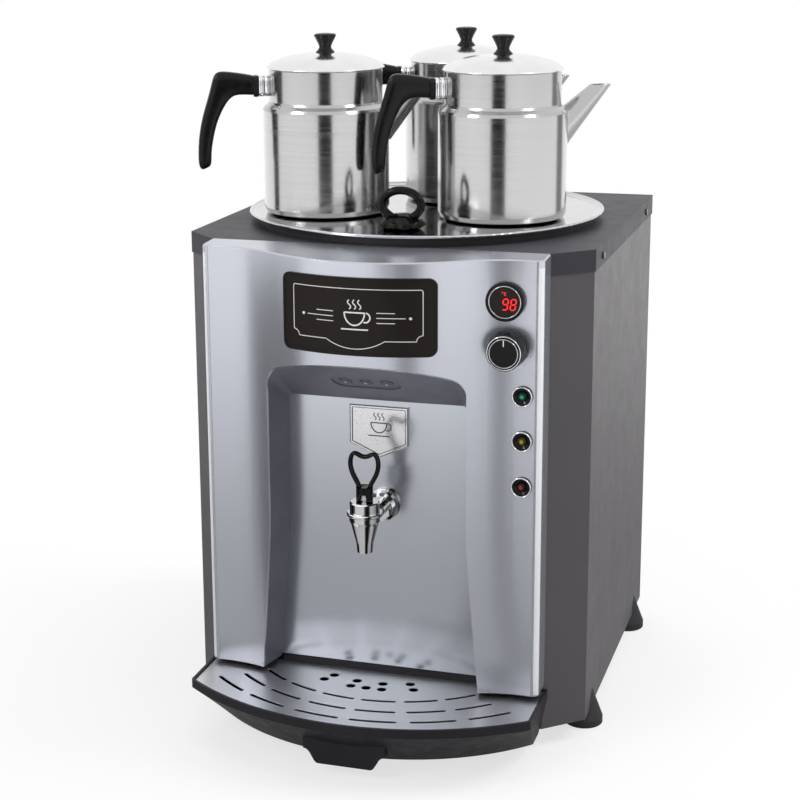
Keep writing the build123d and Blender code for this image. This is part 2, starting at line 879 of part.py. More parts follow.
def tap_collar():
    """Stepped collar between the wall and the tap."""
    bore = shank_radius + running_clearance
    wall = wall_reach
    profile = [(bore, wall), (collar_radius, wall), (collar_radius, wall + 4),
               (collar_radius - 1.5, wall + 4.6), (collar_radius - 1.5, wall + 6.2),
               (collar_radius - 0.6, wall + 7), (collar_radius - 2, wall + 11),
               (collar_radius - 5, collar_reach), (bore, collar_reach)]
    return turned_forward(profile, tap_x, shank_height)


def tap_nut():
    """Hexagonal nut that pulls the tap against the wall."""
    reach = wall_reach - sheet
    hexagon = front(reach - nut_thickness) * Pos(tap_x, shank_height) * RegularPolygon(nut_radius, 6)
    nut = extrude(hexagon, amount=nut_thickness)
    return nut - across(tap_x, shank_height, shank_radius + running_clearance, 0, tap_reach)


# ---------------------------------------------------------------- drip tray
def tray_plan(half, corner, nose, rear, radius):
    """Plan of the tray: straight back and sides, arched front, rounded front corners."""
    right = [(half, -corner), (half, -rear)]
    left = [(-half, -rear), (-half, -corner)]
    arc = ThreePointArc(left[-1], (0, -nose), right[0])
    face = make_face(Curve() + [Polyline(*right, *left), arc])
    corners = [v for v in face.vertices() if v.Y < -rear - 1]
    return fillet(corners, radius)


def rim_plan(inset):
    """Plan of the tray's rim, set in all round."""
    return tray_plan(tray_half - inset, tray_corner_reach - inset / 2, tray_reach - inset,
                     tray_rear_reach + inset, tray_corner_radius)


def bowl_plan(inset):
    """Plan of the tray's bottom, set in all round."""
    return tray_plan(bowl_bottom_half - inset, bowl_bottom_corner_reach - inset / 2,
                     bowl_bottom_reach - inset, tray_rear_reach + inset, tray_corner_radius / 2)


def pull_lug():
    """Tongue under the front of the tray to pull it by."""
    flank = Bezier((lug_root_half, lug_root), (lug_root_half - 9, lug_root),
                   (lug_half + 7, lug_bottom), (lug_half, lug_bottom))
    rise = Line((lug_root_half, lug_root), (lug_root_half, lug_top))
    base = Line((-lug_half, lug_bottom), (lug_half, lug_bottom))
    top = Line((-lug_root_half, lug_top), (lug_root_half, lug_top))
    left = [mirror(flank, Plane.YZ), mirror(rise, Plane.YZ)]
    outline = make_face(Curve() + [flank, rise, base, top] + left)
    return extrude(front(lug_front_reach - lug_thickness) * outline, amount=lug_thickness)


def drip_tray():
    """Moulded tray: tapered bowl under a rim, with a ledge for the grille and a pull lug."""
    rim_bottom_height = tray_rim_top - tray_rim_height
    ledge_height = tray_rim_top - grille_below_rim - grille_thickness - rest_gap
    bowl = loft([Pos(0, 0, tray_bottom) * bowl_plan(0),
                 Pos(0, 0, rim_bottom_height) * rim_plan(0)], ruled=True)
    whole = bowl + slab(rim_plan(0), rim_bottom_height, tray_rim_top) + pull_lug()
    hollow = loft([Pos(0, 0, tray_bottom + tray_wall) * bowl_plan(tray_wall),
                   Pos(0, 0, rim_bottom_height) * rim_plan(tray_rim_width + tray_ledge)],
                  ruled=True)
    whole -= hollow
    whole -= slab(rim_plan(tray_rim_width + tray_ledge), rim_bottom_height, ledge_height)
    whole -= slab(rim_plan(tray_rim_width), ledge_height, tray_rim_top + 1)
    strip = block(-rear_strip_half, rear_strip_half, -tray_rear_reach - tray_rim_width,
                  -tray_rear_reach, tray_rim_top - 1, wall_bottom - 0.5)
    return whole + strip


def drip_grille():
    """Steel grille with three rows of curved slots and a group of round holes."""
    top = tray_rim_top - grille_below_rim
    plate = slab(rim_plan(tray_rim_width + grille_clearance), top - grille_thickness, top)
    cuts = []
    for radius, centre in slot_rows:
        for start, end in slot_spans:
            arc = CenterArc((0, -centre), radius, start - 90, end - start)
            cuts.append(SlotArc(arc, slot_width))
    cuts += [mirror(cut, Plane.YZ) for cut in cuts]
    holes = [(x, reach) for x, reach in drain_holes] + [(-x, reach) for x, reach in drain_holes]
    for x, reach in holes + [(0, centre_drain_reach)]:
        cuts.append(Pos(x, -reach) * Circle(drain_hole_radius))
    for cut in cuts:
        plate -= slab(cut, top - 2 * grille_thickness, top + 1)
    return plate


def tray_shelf():
    """Joggled plate that carries the tray under the base."""
    top = tray_bottom - rest_gap
    back = -(chamfer_forward - sheet) + shelf_thickness / 2
    points = [(-shelf_reach, top), (back - shelf_thickness, top),
              (back - shelf_thickness, foot_height), (back + shelf_tab, foot_height),
              (back + shelf_tab, foot_height - shelf_thickness), (back, foot_height - shelf_thickness),
              (back, top - shelf_thickness), (-shelf_reach, top - shelf_thickness)]
    side = Plane.YZ.offset(-shelf_half) * make_face(Polyline(*points, close=True))
    return extrude(side, amount=2 * shelf_half)


# ---------------------------------------------------------------- tank
def boiler_tank():
    """Round boiler with holes for the filler neck, the tap feed and the heating element."""
    wall = tank_wall
    outer = [(0, tank_bottom), (tank_radius - tank_corner, tank_bottom),
             (tank_radius, tank_bottom + tank_corner), (tank_radius, tank_top), (0, tank_top)]
    inner = [(0, tank_bottom + wall), (tank_radius - tank_corner, tank_bottom + wall),
             (tank_radius - wall, tank_bottom + tank_corner), (tank_radius - wall, tank_top - wall),
             (0, tank_top - wall)]
    tank = turned(outer, 0, tank_centre) - turned(inner, 0, tank_centre)
    tank -= upright(filler_x, filler_y, neck_outer_radius + screw_clearance, tank_top - 5,
                    tank_top + 1)
    tank -= across(tap_x, shank_height, feed_nipple_radius + screw_clearance, -6, 6)
    rear = -(tank_centre + tank_radius)
    return tank - across(0, element_height, element_plug_radius + screw_clearance, rear - 5,
                         rear + 10)


def tank_supports():
    """Four bent brackets between the base plate and the tank."""
    bottom = foot_height + sheet
    legs = []
    for angle in (45, 135, 225, 315):
        half = support_width / 2
        leg = block(-support_sheet, 0, -half, half, bottom, tank_bottom)
        leg += block(-support_foot, 0, -half, half, bottom, bottom + support_sheet)
        leg += block(-support_foot, 0, -half, half, tank_bottom - support_sheet, tank_bottom)
        legs.append(Pos(0, tank_centre, 0) * Rot(0, 0, angle) * Pos(support_radius, 0, 0) * leg)
    return group(legs)


def heating_element():
    """Hairpin element on a threaded plug in the tank's back."""
    rear = tank_centre + tank_radius
    seat = rear - 6
    straight = element_front + element_spread
    path = Curve() + [Line((element_spread, seat), (element_spread, straight)),
                      CenterArc((0, straight), element_spread, 0, -180),
                      Line((-element_spread, straight), (-element_spread, seat))]
    path = Pos(0, 0, element_height) * path
    section = Plane(origin=(element_spread, seat, element_height), z_dir=(0, -1, 0))
    tube = sweep(section * Circle(element_tube_radius), path)
    plug = across(0, element_height, element_plug_radius, -rear - rest_gap, -seat)
    flange = across(0, element_height, element_flange_radius, -rear - 6, -rear - rest_gap)
    pins = [across(x, element_height, 2.5, -rear - 14, -rear - 6) for x in (-9, 9)]
    return tube + plug + flange + pins


def tap_feed_pipe():
    """Coupling from the tank's nipple to the end of the tap's shank."""
    socket = shank_radius + running_clearance
    end = shank_end_reach - 1
    profile = [(shank_bore, -4), (feed_nipple_radius, -4), (feed_nipple_radius, rest_gap),
               (feed_radius, rest_gap), (feed_radius, end + feed_socket),
               (socket, end + feed_socket), (socket, end), (shank_bore, end)]
    return turned_forward(profile, tap_x, shank_height)


def terminal_block():
    """Row of mains terminals on the base plate."""
    x, y = terminal_place
    bottom = foot_height + sheet
    half = terminal_length / 2
    body = block(x - half, x + half, y - terminal_width / 2, y + terminal_width / 2, bottom,
                 bottom + terminal_height)
    for step in (-20, 0, 20):
        body -= upright(x + step, y, 3.5, bottom + terminal_height - 4,
                        bottom + terminal_height + 1)
    return body


def cable_gland():
    """Gland of the mains lead in the back panel, with its nut inside."""
    face = -(housing_depth - sheet)
    inside = face + sheet
    tip = -(housing_depth + gland_reach)
    profile = [(gland_bore, tip), (gland_dome_radius - 3, tip), (gland_dome_radius, tip + 5),
               (gland_dome_radius, face - 6), (gland_hex_radius, face - 6),
               (gland_hex_radius, face), (gland_thread_radius, face),
               (gland_thread_radius, inside), (gland_hex_radius - 1, inside),
               (gland_hex_radius - 1, inside + 4), (gland_thread_radius, inside + 4),
               (gland_thread_radius, inside + 8), (gland_bore, inside + 8)]
    return turned_forward(profile, gland_x, gland_height)


# ---------------------------------------------------------------- dish and cap
def top_dish():
    """Pressed dish with a rolled edge and the filler neck into the tank."""
    under = dish_floor - dish_sheet
    bead = dish_radius - dish_bead_radius
    lift = dish_floor + 2
    inner = bead - dish_bead_radius / 2
    profile = [(0, under), (dish_flat_radius, under), (inner, lift - dish_sheet), (inner, lift),
               (dish_flat_radius - 0.5, dish_floor), (0, dish_floor)]
    dish = turned(profile, 0, dish_centre)
    ring = Pos(bead, lift - 0.5) * Circle(dish_bead_radius)
    dish += Pos(0, dish_centre, 0) * revolve(Plane.XZ * ring, Axis.Z)
    neck = upright(filler_x, filler_y, neck_outer_radius, neck_end, under)
    bore = upright(filler_x, filler_y, neck_outer_radius - neck_wall, neck_end - 1, dish_floor + 1)
    return dish + neck - bore


def dish_gasket():
    """Rubber ring between the cover and the dish."""
    under = dish_floor - dish_sheet
    profile = [(gasket_radius - gasket_width, housing_top), (gasket_radius, housing_top),
               (gasket_radius, under), (gasket_radius - gasket_width, under)]
    return turned(profile, 0, dish_centre)


def filler_cap():
    """Plug with a lobed skirt, a faceted crown and a finger ring."""
    seat = dish_floor + rest_gap
    plug_radius = neck_outer_radius - neck_wall - cap_plug_clearance
    cap = turned([(0, seat), (neck_outer_radius + 1, seat), (cap_skirt_radius - 3, cap_skirt_bottom),
                  (0, cap_skirt_bottom)], filler_x, filler_y)
    cap += upright(filler_x, filler_y, plug_radius, seat - cap_plug_length, seat)
    cap -= upright(filler_x, filler_y, plug_radius - 2, seat - cap_plug_length - 1, seat - 2)
    skirt = Circle(cap_skirt_radius - 3)
    for lobe in range(cap_lobes):
        skirt += Rot(0, 0, lobe * 360 / cap_lobes) * Pos(cap_skirt_radius - 8, 0) * Circle(8)
    cap += Pos(filler_x, filler_y, 0) * slab(skirt, cap_skirt_bottom, cap_skirt_top)
    crown = loft([Pos(0, 0, cap_skirt_top) * RegularPolygon(21, 8),
                  Pos(0, 0, cap_dome_top) * RegularPolygon(10, 8)])
    cap += Pos(filler_x, filler_y, 0) * crown
    return cap + cap_ring()


def cap_ring():
    """Finger ring that stands on the cap."""
    outer = ring_outline(ring_half, ring_top, cap_skirt_top - 1)
    inner = ring_outline(ring_half - ring_section, ring_top - ring_section, cap_skirt_top + 4)
    face = front(-filler_y) * Pos(filler_x, 0) * (outer - inner)
    return extrude(face, amount=ring_depth / 2, both=True)


def ring_outline(half, top, bottom):
    """Flattened round that narrows to its foot."""
    widest = (half, ring_middle - 2)
    foot_half = half * 0.72
    crown = ThreePointArc(widest, (0, top), (-half, widest[1]))
    legs = Polyline(widest, (foot_half, bottom), (-foot_half, bottom), (-half, widest[1]))
    return make_face(Curve() + [crown, legs])


# ---------------------------------------------------------------- teapots
def pot_profile(inset, foot, rim):
    """Half section of a pot: lower drum, shoulder and upper drum, set in from the outside."""
    lower = pot_lower_radius - inset
    upper = pot_upper_radius - inset
    corner = pot_base_corner
    bend = corner * (1 - sqrt(0.5))
    return [(0, foot), (lower - corner, foot), (lower - bend, foot + bend), (lower, foot + corner),
            (lower, pot_shoulder_bottom), (lower - 1.2, pot_shoulder_bottom + 3),
            (upper + 1, pot_shoulder_top - 1.5), (upper, pot_shoulder_top + 1), (upper, rim),
            (0, rim)]


def spout_cone(skin):
    """Cone of the spout, thinner by a skin, from inside the pot to past its mouth."""
    slope = tan(radians(spout_half_angle))
    length = spout_root_run - spout_tip_run
    direction = (cos(radians(spout_tilt)), 0, sin(radians(spout_tilt)))
    root = Vector(spout_apex_out, 0, spout_apex_up) - Vector(direction) * spout_root_run
    cone = Cone(spout_root_run * slope - skin, spout_tip_run * slope - skin, length,
                align=(Align.CENTER, Align.CENTER, Align.MIN))
    return Plane(origin=root, x_dir=(0, 1, 0), z_dir=direction) * cone


def pot_body():
    """Spun pot with its spout and the ferrule of the handle, standing at the origin."""
    solid = turned(pot_profile(0, 0, pot_height))
    solid += spout_cone(0)
    middle = (ferrule_bottom + ferrule_top) / 2
    ferrule_face = RectangleRounded(ferrule_width, ferrule_top - ferrule_bottom, 5)
    solid += extrude(Plane.YZ * Pos(0, middle) * ferrule_face, amount=-ferrule_out)
    solid -= turned(pot_profile(pot_sheet, pot_sheet, pot_height + 1))
    above = spout_mouth + 50
    solid -= block(pot_upper_radius + 10, spout_apex_out, -30, 30, spout_mouth, above)
    bore = spout_cone(spout_sheet)
    return solid - (bore - turned(pot_profile(pot_sheet, pot_sheet, pot_height + 1)))


def pot_handle():
    """Curved grip whose arm meets the ferrule."""
    upper = Polyline((ferrule_out, ferrule_top), (97, 150.5), (111, 151.5), (117.5, 145))
    outer = Spline((117.5, 145), (130, 116.5), (138.7, 84), (138.8, 49.5))
    tip = Polyline((138.8, 49.5), (126, 43.5), (123, 55.5), (124.8, 61))
    inner = Spline((124.8, 61), (118.8, 94.5), (108.2, 117.5), (99.3, 128))
    lower = Polyline((99.3, 128), (ferrule_out, ferrule_bottom), (ferrule_out, ferrule_top))
    outline = make_face(Curve() + [upper, outer, tip, inner, lower])
    grip = extrude(Plane.XZ * outline, amount=handle_width / 2, both=True)
    rims = [edge for edge in grip.edges() if abs(abs(edge.center().Y) - handle_width / 2) < 0.1]
    rims = [edge for edge in rims if edge.center().X > ferrule_out + 1]
    return Rot(0, 0, 180) * chamfer(rims, handle_edge)


def lid_dome():
    """Radius and centre height of the lid's outer dome."""
    radius = (lid_radius ** 2 + lid_rise ** 2) / (2 * lid_rise)
    return radius, pot_height + rest_gap + lid_sheet + lid_rise - radius


def pot_lid():
    """Domed lid with a brim and a locating skirt."""
    radius, centre = lid_dome()
    brim = pot_height + rest_gap
    ball = Pos(0, 0, centre) * Sphere(radius)
    dome = upright(0, 0, lid_radius, brim, brim + 2 * lid_rise) & ball
    skirt_radius = pot_upper_radius - pot_sheet - lid_clearance
    dome += upright(0, 0, skirt_radius, brim - lid_skirt_depth, brim + 1)
    hollow = Pos(0, 0, centre) * Sphere(radius - lid_sheet)
    core = upright(0, 0, skirt_radius - lid_sheet, brim - lid_skirt_depth - 1, brim + lid_rise)
    return dome - (core & hollow)


def pot_lid_knob():
    """Waisted knob on the lid."""
    radius, centre = lid_dome()
    foot = centre + radius - 1
    top = foot + 1 + lid_knob_height
    profile = [(0, foot), (lid_knob_foot, foot), (lid_knob_foot, foot + 1.6),
               (lid_knob_waist, foot + 4), (lid_knob_waist + 0.3, foot + 6.5),
               (lid_knob_radius - 2, top - 8), (lid_knob_radius, top - 5),
               (lid_knob_radius - 0.4, top - 3), (lid_knob_radius - 5, top - 0.6), (0, top)]
    return turned(profile) - Pos(0, 0, centre) * Sphere(radius)


# ---------------------------------------------------------------- writing the pieces
space = fascia_space()
save("top_cover", top_cover())
right_side = side_panel()
save("right_side_panel", right_side)
save("left_side_panel", mirror(right_side, Plane.YZ))
save("back_panel", back_panel())
save("base_plate", base_plate())
save("case_screws", case_screws())
save("feet", group([foot(x, y) for x, y in foot_centres()]))
save("foot_screws", group([foot_screw(x, y) for x, y in foot_centres()]))
save("front_fascia", front_fascia(space))
save("niche_liner", niche_liner(space))
save("niche_back_panel", niche_back_panel())
save("hood_light_plate", hood_light_plate())
save("hood_light_lenses", group([hood_light_lens(x) for x in light_places()]))
save("name_plate", name_plate())
save("tap_badge", tap_badge())
save("display_bezel", display_bezel())
save("display_window", display_window())
save("thermostat_knob", thermostat_knob())
save("knob_trim_ring", knob_trim_ring())
save("thermostat_spindle", thermostat_spindle())
save("thermostat_control", thermostat_control())
save("lamp_bodies", group([lamp_body(height) for height in lamp_heights]))
for colour, height in zip(("green", "amber", "red"), lamp_heights):
    save(f"lamp_lens_{colour}", lamp_lens(height))
save("tap_body", tap_body())
save("tap_bonnet", tap_bonnet())
save("tap_stem", tap_stem())
save("tap_seat_cup", tap_seat_cup())
save("tap_spring", tap_spring())
save("tap_handle", tap_handle())
save("tap_pivot_pin", tap_pivot_pin())
save("tap_collar", tap_collar())
save("tap_nut", tap_nut())
save("drip_tray", drip_tray())
save("drip_grille", drip_grille())
save("tray_shelf", tray_shelf())
save("boiler_tank", boiler_tank())
save("tank_supports", tank_supports())
save("heating_element", heating_element())
save("tap_feed_pipe", tap_feed_pipe())
save("terminal_block", terminal_block())
save("cable_gland", cable_gland())
save("top_dish", top_dish())
save("dish_gasket", dish_gasket())
save("filler_cap", filler_cap())
for number, (pot_x, pot_y, turn) in enumerate(pot_places, start=1):
    place = Pos(pot_x, pot_y, pot_base) * Rot(0, 0, turn)
    save(f"teapot_{number}_body", place * pot_body())
    save(f"teapot_{number}_handle", place * pot_handle())
    save(f"teapot_{number}_lid", place * pot_lid())
    save(f"teapot_{number}_lid_knob", place * pot_lid_knob())
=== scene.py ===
from math import atan, cos, hypot, pi, radians, sin

import bmesh
import bpy
from mathutils import Matrix, Vector
from mathutils.bvhtree import BVHTree


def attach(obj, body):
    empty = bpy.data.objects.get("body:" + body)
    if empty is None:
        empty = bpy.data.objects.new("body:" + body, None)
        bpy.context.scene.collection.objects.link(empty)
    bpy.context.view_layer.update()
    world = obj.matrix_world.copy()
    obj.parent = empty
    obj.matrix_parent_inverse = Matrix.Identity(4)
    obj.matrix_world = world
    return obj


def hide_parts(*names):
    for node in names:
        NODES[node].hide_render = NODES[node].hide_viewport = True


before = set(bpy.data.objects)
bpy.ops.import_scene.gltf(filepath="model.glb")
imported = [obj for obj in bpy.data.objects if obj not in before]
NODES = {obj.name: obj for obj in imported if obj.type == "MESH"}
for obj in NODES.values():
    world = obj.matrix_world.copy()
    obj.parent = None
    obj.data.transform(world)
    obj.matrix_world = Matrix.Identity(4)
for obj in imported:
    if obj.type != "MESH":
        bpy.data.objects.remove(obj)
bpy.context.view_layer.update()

MM = 0.001
POTS = ((-0.101, 0.007, 24), (0.092, 0.014, 24), (0.022, 0.135, 12))
POT_BASE = 0.5293
KNOB_X, KNOB_Z = 143.5, 431
KNOB = Vector((KNOB_X, -197, KNOB_Z)) * MM
DISPLAY = Vector((0.140, -0.1772, 0.4775))
LAMP_X, LAMP_FACE = 0.1575, -0.175
LAMP_HEIGHTS = {"green": 0.3835, "amber": 0.338, "red": 0.291}


# ------------------------------------------------------------------ materials
def rgb(red, green, blue):
    """Linear colour of an 8-bit display colour."""
    linear = []
    for value in (red, green, blue):
        value /= 255
        curved = ((value + 0.055) / 1.055) ** 2.4
        linear.append(value / 12.92 if value <= 0.04045 else curved)
    return (*linear, 1.0)


class Shader:
    """A material under construction: its Principled shader and the nodes that feed it."""

    def __init__(self, name, colour, rough, metal=0.0, bevel=0.5, **sockets):
        self.material = bpy.data.materials.new(name)
        self.material.use_nodes = True
        self.tree = self.material.node_tree
        self.shader = self.tree.nodes["Principled BSDF"]
        self.colour = colour
        self.shader.inputs["Base Color"].default_value = colour
        self.shader.inputs["Roughness"].default_value = rough
        self.shader.inputs["Metallic"].default_value = metal
        for socket, value in sockets.items():
            self.shader.inputs[socket.replace("_", " ")].default_value = value
        self.normal = None
        if bevel:
            rounded = self.node("ShaderNodeBevel", samples=4)
            rounded.inputs["Radius"].default_value = bevel * MM
            self.normal = rounded.outputs["Normal"]
            self.link(self.normal, self.shader.inputs["Normal"])

    def node(self, kind, **settings):
        made = self.tree.nodes.new(kind)
        for name, value in settings.items():
            setattr(made, name, value)
        return made

    def link(self, source, target):
        self.tree.links.new(source, target)

    def noise(self, scale, stretch=(1, 1, 1), detail=4.0, rough=0.55):
        """Noise over the object's own coordinates, stretched along the axes."""
        coordinates = self.node("ShaderNodeTexCoord")
        mapping = self.node("ShaderNodeMapping")
        mapping.inputs["Scale"].default_value = stretch
        texture = self.node("ShaderNodeTexNoise")
        texture.inputs["Scale"].default_value = scale
        texture.inputs["Detail"].default_value = detail
        texture.inputs["Roughness"].default_value = rough
        self.link(coordinates.outputs["Object"], mapping.inputs["Vector"])
        self.link(mapping.outputs["Vector"], texture.inputs["Vector"])
        return texture.outputs["Fac"]

    def ranged(self, source, low, high, start=0.3, end=0.7):
        """A factor stretched from a range of its own to a new one."""
        ranged = self.node("ShaderNodeMapRange")
        ranged.inputs["From Min"].default_value = start
        ranged.inputs["From Max"].default_value = end
        ranged.inputs["To Min"].default_value = low
        ranged.inputs["To Max"].default_value = high
        self.link(source, ranged.inputs["Value"])
        return ranged.outputs["Result"]

    def mixed(self, factor, dark, light):
        """The base colour between two colours, by a factor."""
        mix = self.node("ShaderNodeMix", data_type="RGBA")
        mix.inputs["A"].default_value = dark
        mix.inputs["B"].default_value = light
        self.link(factor, mix.inputs["Factor"])
        self.link(mix.outputs["Result"], self.shader.inputs["Base Color"])

    def vary_colour(self, source, dark, light=1.0):
        """The base colour times a factor that follows a texture."""
        low = [c * dark for c in self.colour[:3]] + [1]
        high = [min(c * light, 1) for c in self.colour[:3]] + [1]
        self.mixed(self.ranged(source, 0, 1), low, high)

    def vary_rough(self, source, low, high):
        """The roughness between two values, by a texture."""
        self.link(self.ranged(source, low, high), self.shader.inputs["Roughness"])

    def bump(self, source, distance, strength=1.0):
        """A height laid over the normal so far, with its distance in metres."""
        bump = self.node("ShaderNodeBump")
        bump.inputs["Strength"].default_value = strength
        bump.inputs["Distance"].default_value = distance
        self.link(source, bump.inputs["Height"])
        if self.normal:
            self.link(self.normal, bump.inputs["Normal"])
        self.normal = bump.outputs["Normal"]
        self.link(self.normal, self.shader.inputs["Normal"])

    def squared(self, axis):
        """The square of an object coordinate, the height of a bowed sheet."""
        coordinates = self.node("ShaderNodeTexCoord")
        parts = self.node("ShaderNodeSeparateXYZ")
        power = self.node("ShaderNodeMath", operation="MULTIPLY")
        self.link(coordinates.outputs["Object"], parts.inputs["Vector"])
        self.link(parts.outputs[axis], power.inputs[0])
        self.link(parts.outputs[axis], power.inputs[1])
        return power.outputs["Value"]


def powder_coat(name, colour, rough, sheen=0.5):
    """Fine-textured paint with faint clouds and a satin sheen."""
    paint = Shader(name, colour, rough, 0.0, 0.7, Specular_IOR_Level=sheen)
    paint.vary_colour(paint.noise(5, detail=3), 0.97, 1.03)
    paint.vary_rough(paint.noise(40), rough - 0.03, rough + 0.04)
    paint.bump(paint.noise(1700, detail=2), 0.00002, 0.3)
    return paint.material


def brushed(name, colour, rough, stretch, grain=900, depth=0.00001, contrast=0.06, bevel=0.5,
            metal=1.0):
    """Metal, or metallic paint, with a fine grain along one direction."""
    sheet = Shader(name, colour, rough, metal, bevel)
    lines = sheet.noise(grain, stretch, detail=3, rough=0.7)
    sheet.vary_colour(lines, 1 - contrast, 1 + contrast)
    sheet.vary_rough(sheet.noise(grain * 0.7, stretch, detail=2), rough - 0.04, rough + 0.06)
    sheet.bump(lines, depth, 0.4)
    return sheet.material


def silver_paint():
    """Silver-lacquered front: mostly metallic, with a faint upright grain."""
    lacquer = Shader("fascia_metal", rgb(198, 201, 210), 0.25, 0.85, 0.4)
    lines = lacquer.noise(1500, (1, 1, 0.02), detail=3, rough=0.7)
    lacquer.vary_colour(lines, 0.985, 1.015)
    lacquer.vary_rough(lacquer.noise(6, detail=2), 0.24, 0.26)
    lacquer.bump(lines, 0.000002, 0.3)
    return lacquer.material


def bowed_wall():
    """Brushed flat sheet, with normals as if it bowed a little across the niche."""
    sheet = Shader("niche_steel", rgb(206, 210, 218), 0.2, 1.0, 0.5)
    lines = sheet.noise(1300, (0.02, 1, 1), detail=3, rough=0.7)
    sheet.vary_colour(lines, 0.98, 1.02)
    sheet.vary_rough(sheet.noise(6, detail=2), 0.19, 0.22)
    sheet.bump(lines, 0.000004, 0.4)
    sheet.bump(sheet.squared("X"), -0.55)
    return sheet.material


def chrome(name, colour, rough, bevel=0.6):
    """Polished plate with a faint haze and slight changes of tone."""
    plate = Shader(name, colour, rough, 1.0, bevel)
    plate.vary_rough(plate.noise(140, detail=5), rough, rough + 0.05)
    plate.vary_colour(plate.noise(30), 0.95, 1.03)
    return plate.material


def plastic(name, colour, rough, grain=2200, depth=0.00004, bevel=0.8, **sockets):
    """Moulded plastic with a fine grain and light handling marks."""
    body = Shader(name, colour, rough, 0.0, bevel, **sockets)
    body.vary_colour(body.noise(18), 0.9, 1.1)
    body.vary_rough(body.noise(90, detail=6), rough - 0.04, rough + 0.07)
    body.bump(body.noise(grain, detail=2), depth, 0.35)
    return body.material


def lens(name, rim, core, glow):
    """Dark tinted lens, speckled between two tones and faintly lit from behind."""
    glass = Shader(name, rim, 0.1, 0.0, 0.3, Specular_IOR_Level=0.3)
    speckle = glass.noise(900, detail=1)
    glass.mixed(glass.ranged(speckle, 0, 1), rim, core)
    glass.shader.inputs["Emission Color"].default_value = core
    glass.shader.inputs["Emission Strength"].default_value = glow
    return glass.material


def glowing(name, colour, strength):
    """Lit figure, lamp or diode, a little uneven."""
    light = Shader(name, colour, 0.4, 0.0, 0.05)
    light.vary_colour(light.noise(1200), 0.7, 1.0)
    light.shader.inputs["Emission Color"].default_value = colour
    light.shader.inputs["Emission Strength"].default_value = strength
    return light.material


def grained_badge():
    """Cast chrome: bright with small dark pits in the field."""
    metal = Shader("badge_chrome", rgb(236, 236, 238), 0.14, 1.0, 0.5)
    pits = metal.noise(900, detail=4, rough=0.7)
    metal.mixed(metal.ranged(pits, 0, 1, 0.3, 0.42), rgb(120, 120, 122), rgb(240, 240, 242))
    metal.bump(pits, 0.00006, 0.5)
    return metal.material


# Painted reflection: grey levels of bands painted into the tap's base colour, by the sideways part
# of its normal.
PAINTED_REFLECTION_BANDS = ((0.0, 220), (0.09, 18), (0.22, 22), (0.28, 246), (0.62, 252), (0.68, 40),
                (0.77, 18), (0.84, 230), (1.0, 150))


def chrome_with_painted_reflection():
    """Polished plate of the tap, with painted reflections: dark and light bands in its base colour
    by the way it faces sideways.
    """
    plate = Shader("tap_chrome_painted_reflection", rgb(235, 235, 238), 0.05, 1.0, 0.5)
    coordinates = plate.node("ShaderNodeTexCoord")
    parts = plate.node("ShaderNodeSeparateXYZ")
    plate.link(coordinates.outputs["Normal"], parts.inputs["Vector"])
    bands = plate.node("ShaderNodeValToRGB")
    ramp = bands.color_ramp.elements
    while len(ramp) < len(PAINTED_REFLECTION_BANDS):
        ramp.new(0.5)
    for element, (place, grey) in zip(ramp, PAINTED_REFLECTION_BANDS):
        element.position = place
        element.color = rgb(grey, grey, grey)
    plate.link(plate.ranged(parts.outputs["X"], 0, 1, -1, 1), bands.inputs["Fac"])
    haze = plate.node("ShaderNodeMix", data_type="RGBA", blend_type="MULTIPLY")
    haze.inputs["Factor"].default_value = 0.12
    plate.link(bands.outputs["Color"], haze.inputs["A"])
    plate.link(plate.noise(60), haze.inputs["B"])
    plate.link(haze.outputs["Result"], plate.shader.inputs["Base Color"])
    return plate.material


def tray_plastic():
    """Black moulded plastic of the tray, with a coarser grain and duller patches."""
    body = Shader("tray_plastic", rgb(30, 29, 34), 0.4, 0.0, 1.0, Specular_IOR_Level=0.25)
    body.vary_colour(body.noise(22), 0.85, 1.15)
    body.vary_rough(body.noise(80, detail=6), 0.34, 0.5)
    body.bump(body.noise(1500, detail=2), 0.00005, 0.4)
    return body.material


COVER = powder_coat("cover_paint", rgb(62, 61, 66), 0.45, 0.12)
PANEL = powder_coat("panel_paint", rgb(82, 79, 82), 0.42, 0.3)
HIDDEN_PAINT = powder_coat("inner_paint", rgb(50, 49, 54), 0.5, 0.3)
FASCIA = silver_paint()
WALL = bowed_wall()
LINER = plastic("niche_plastic", rgb(98, 99, 108), 0.4, Specular_IOR_Level=0.4)
# Painted highlight: a lighter, less metallic copy of the fascia silver for the strips on the
# columns' outer corners.
LIP_PAINTED_HIGHLIGHT = brushed("lip_painted_highlight", rgb(240, 241, 245), 0.34, (1, 1, 0.02), 1500, 0.000002, 0.015, 0,
              metal=0.35)
POT = brushed("pot_steel", rgb(188, 188, 188), 0.17, (0.04, 0.04, 9), 200, 0.000001, 0.012, 1.2)
LID = chrome("lid_steel", rgb(236, 236, 237), 0.16)
DISH = chrome("dish_steel", rgb(205, 205, 207), 0.07, 0)
GRILLE = brushed("grille_steel", rgb(226, 227, 231), 0.36, (0.03, 1, 1), 1300, 0.000004, 0.03)
TRAY = tray_plastic()
HANDLE = plastic("handle_plastic", rgb(16, 16, 17), 0.24, 1500, 0.000004, 1.2,
                 Specular_IOR_Level=0.22)
GLOSS = plastic("gloss_black", rgb(8, 8, 9), 0.08, 900, 0.000002, 0.8, Specular_IOR_Level=0.18)
LOOP = plastic("loop_black", rgb(7, 7, 8), 0.08, 900, 0.000002, 0.8, Specular_IOR_Level=0.22)
CHROME = chrome("bright_chrome", rgb(235, 235, 238), 0.04)
TAP_CHROME_PAINTED_REFLECTION = chrome_with_painted_reflection()
THIN_CHROME = chrome("ring_chrome", rgb(200, 200, 204), 0.08, 0.2)
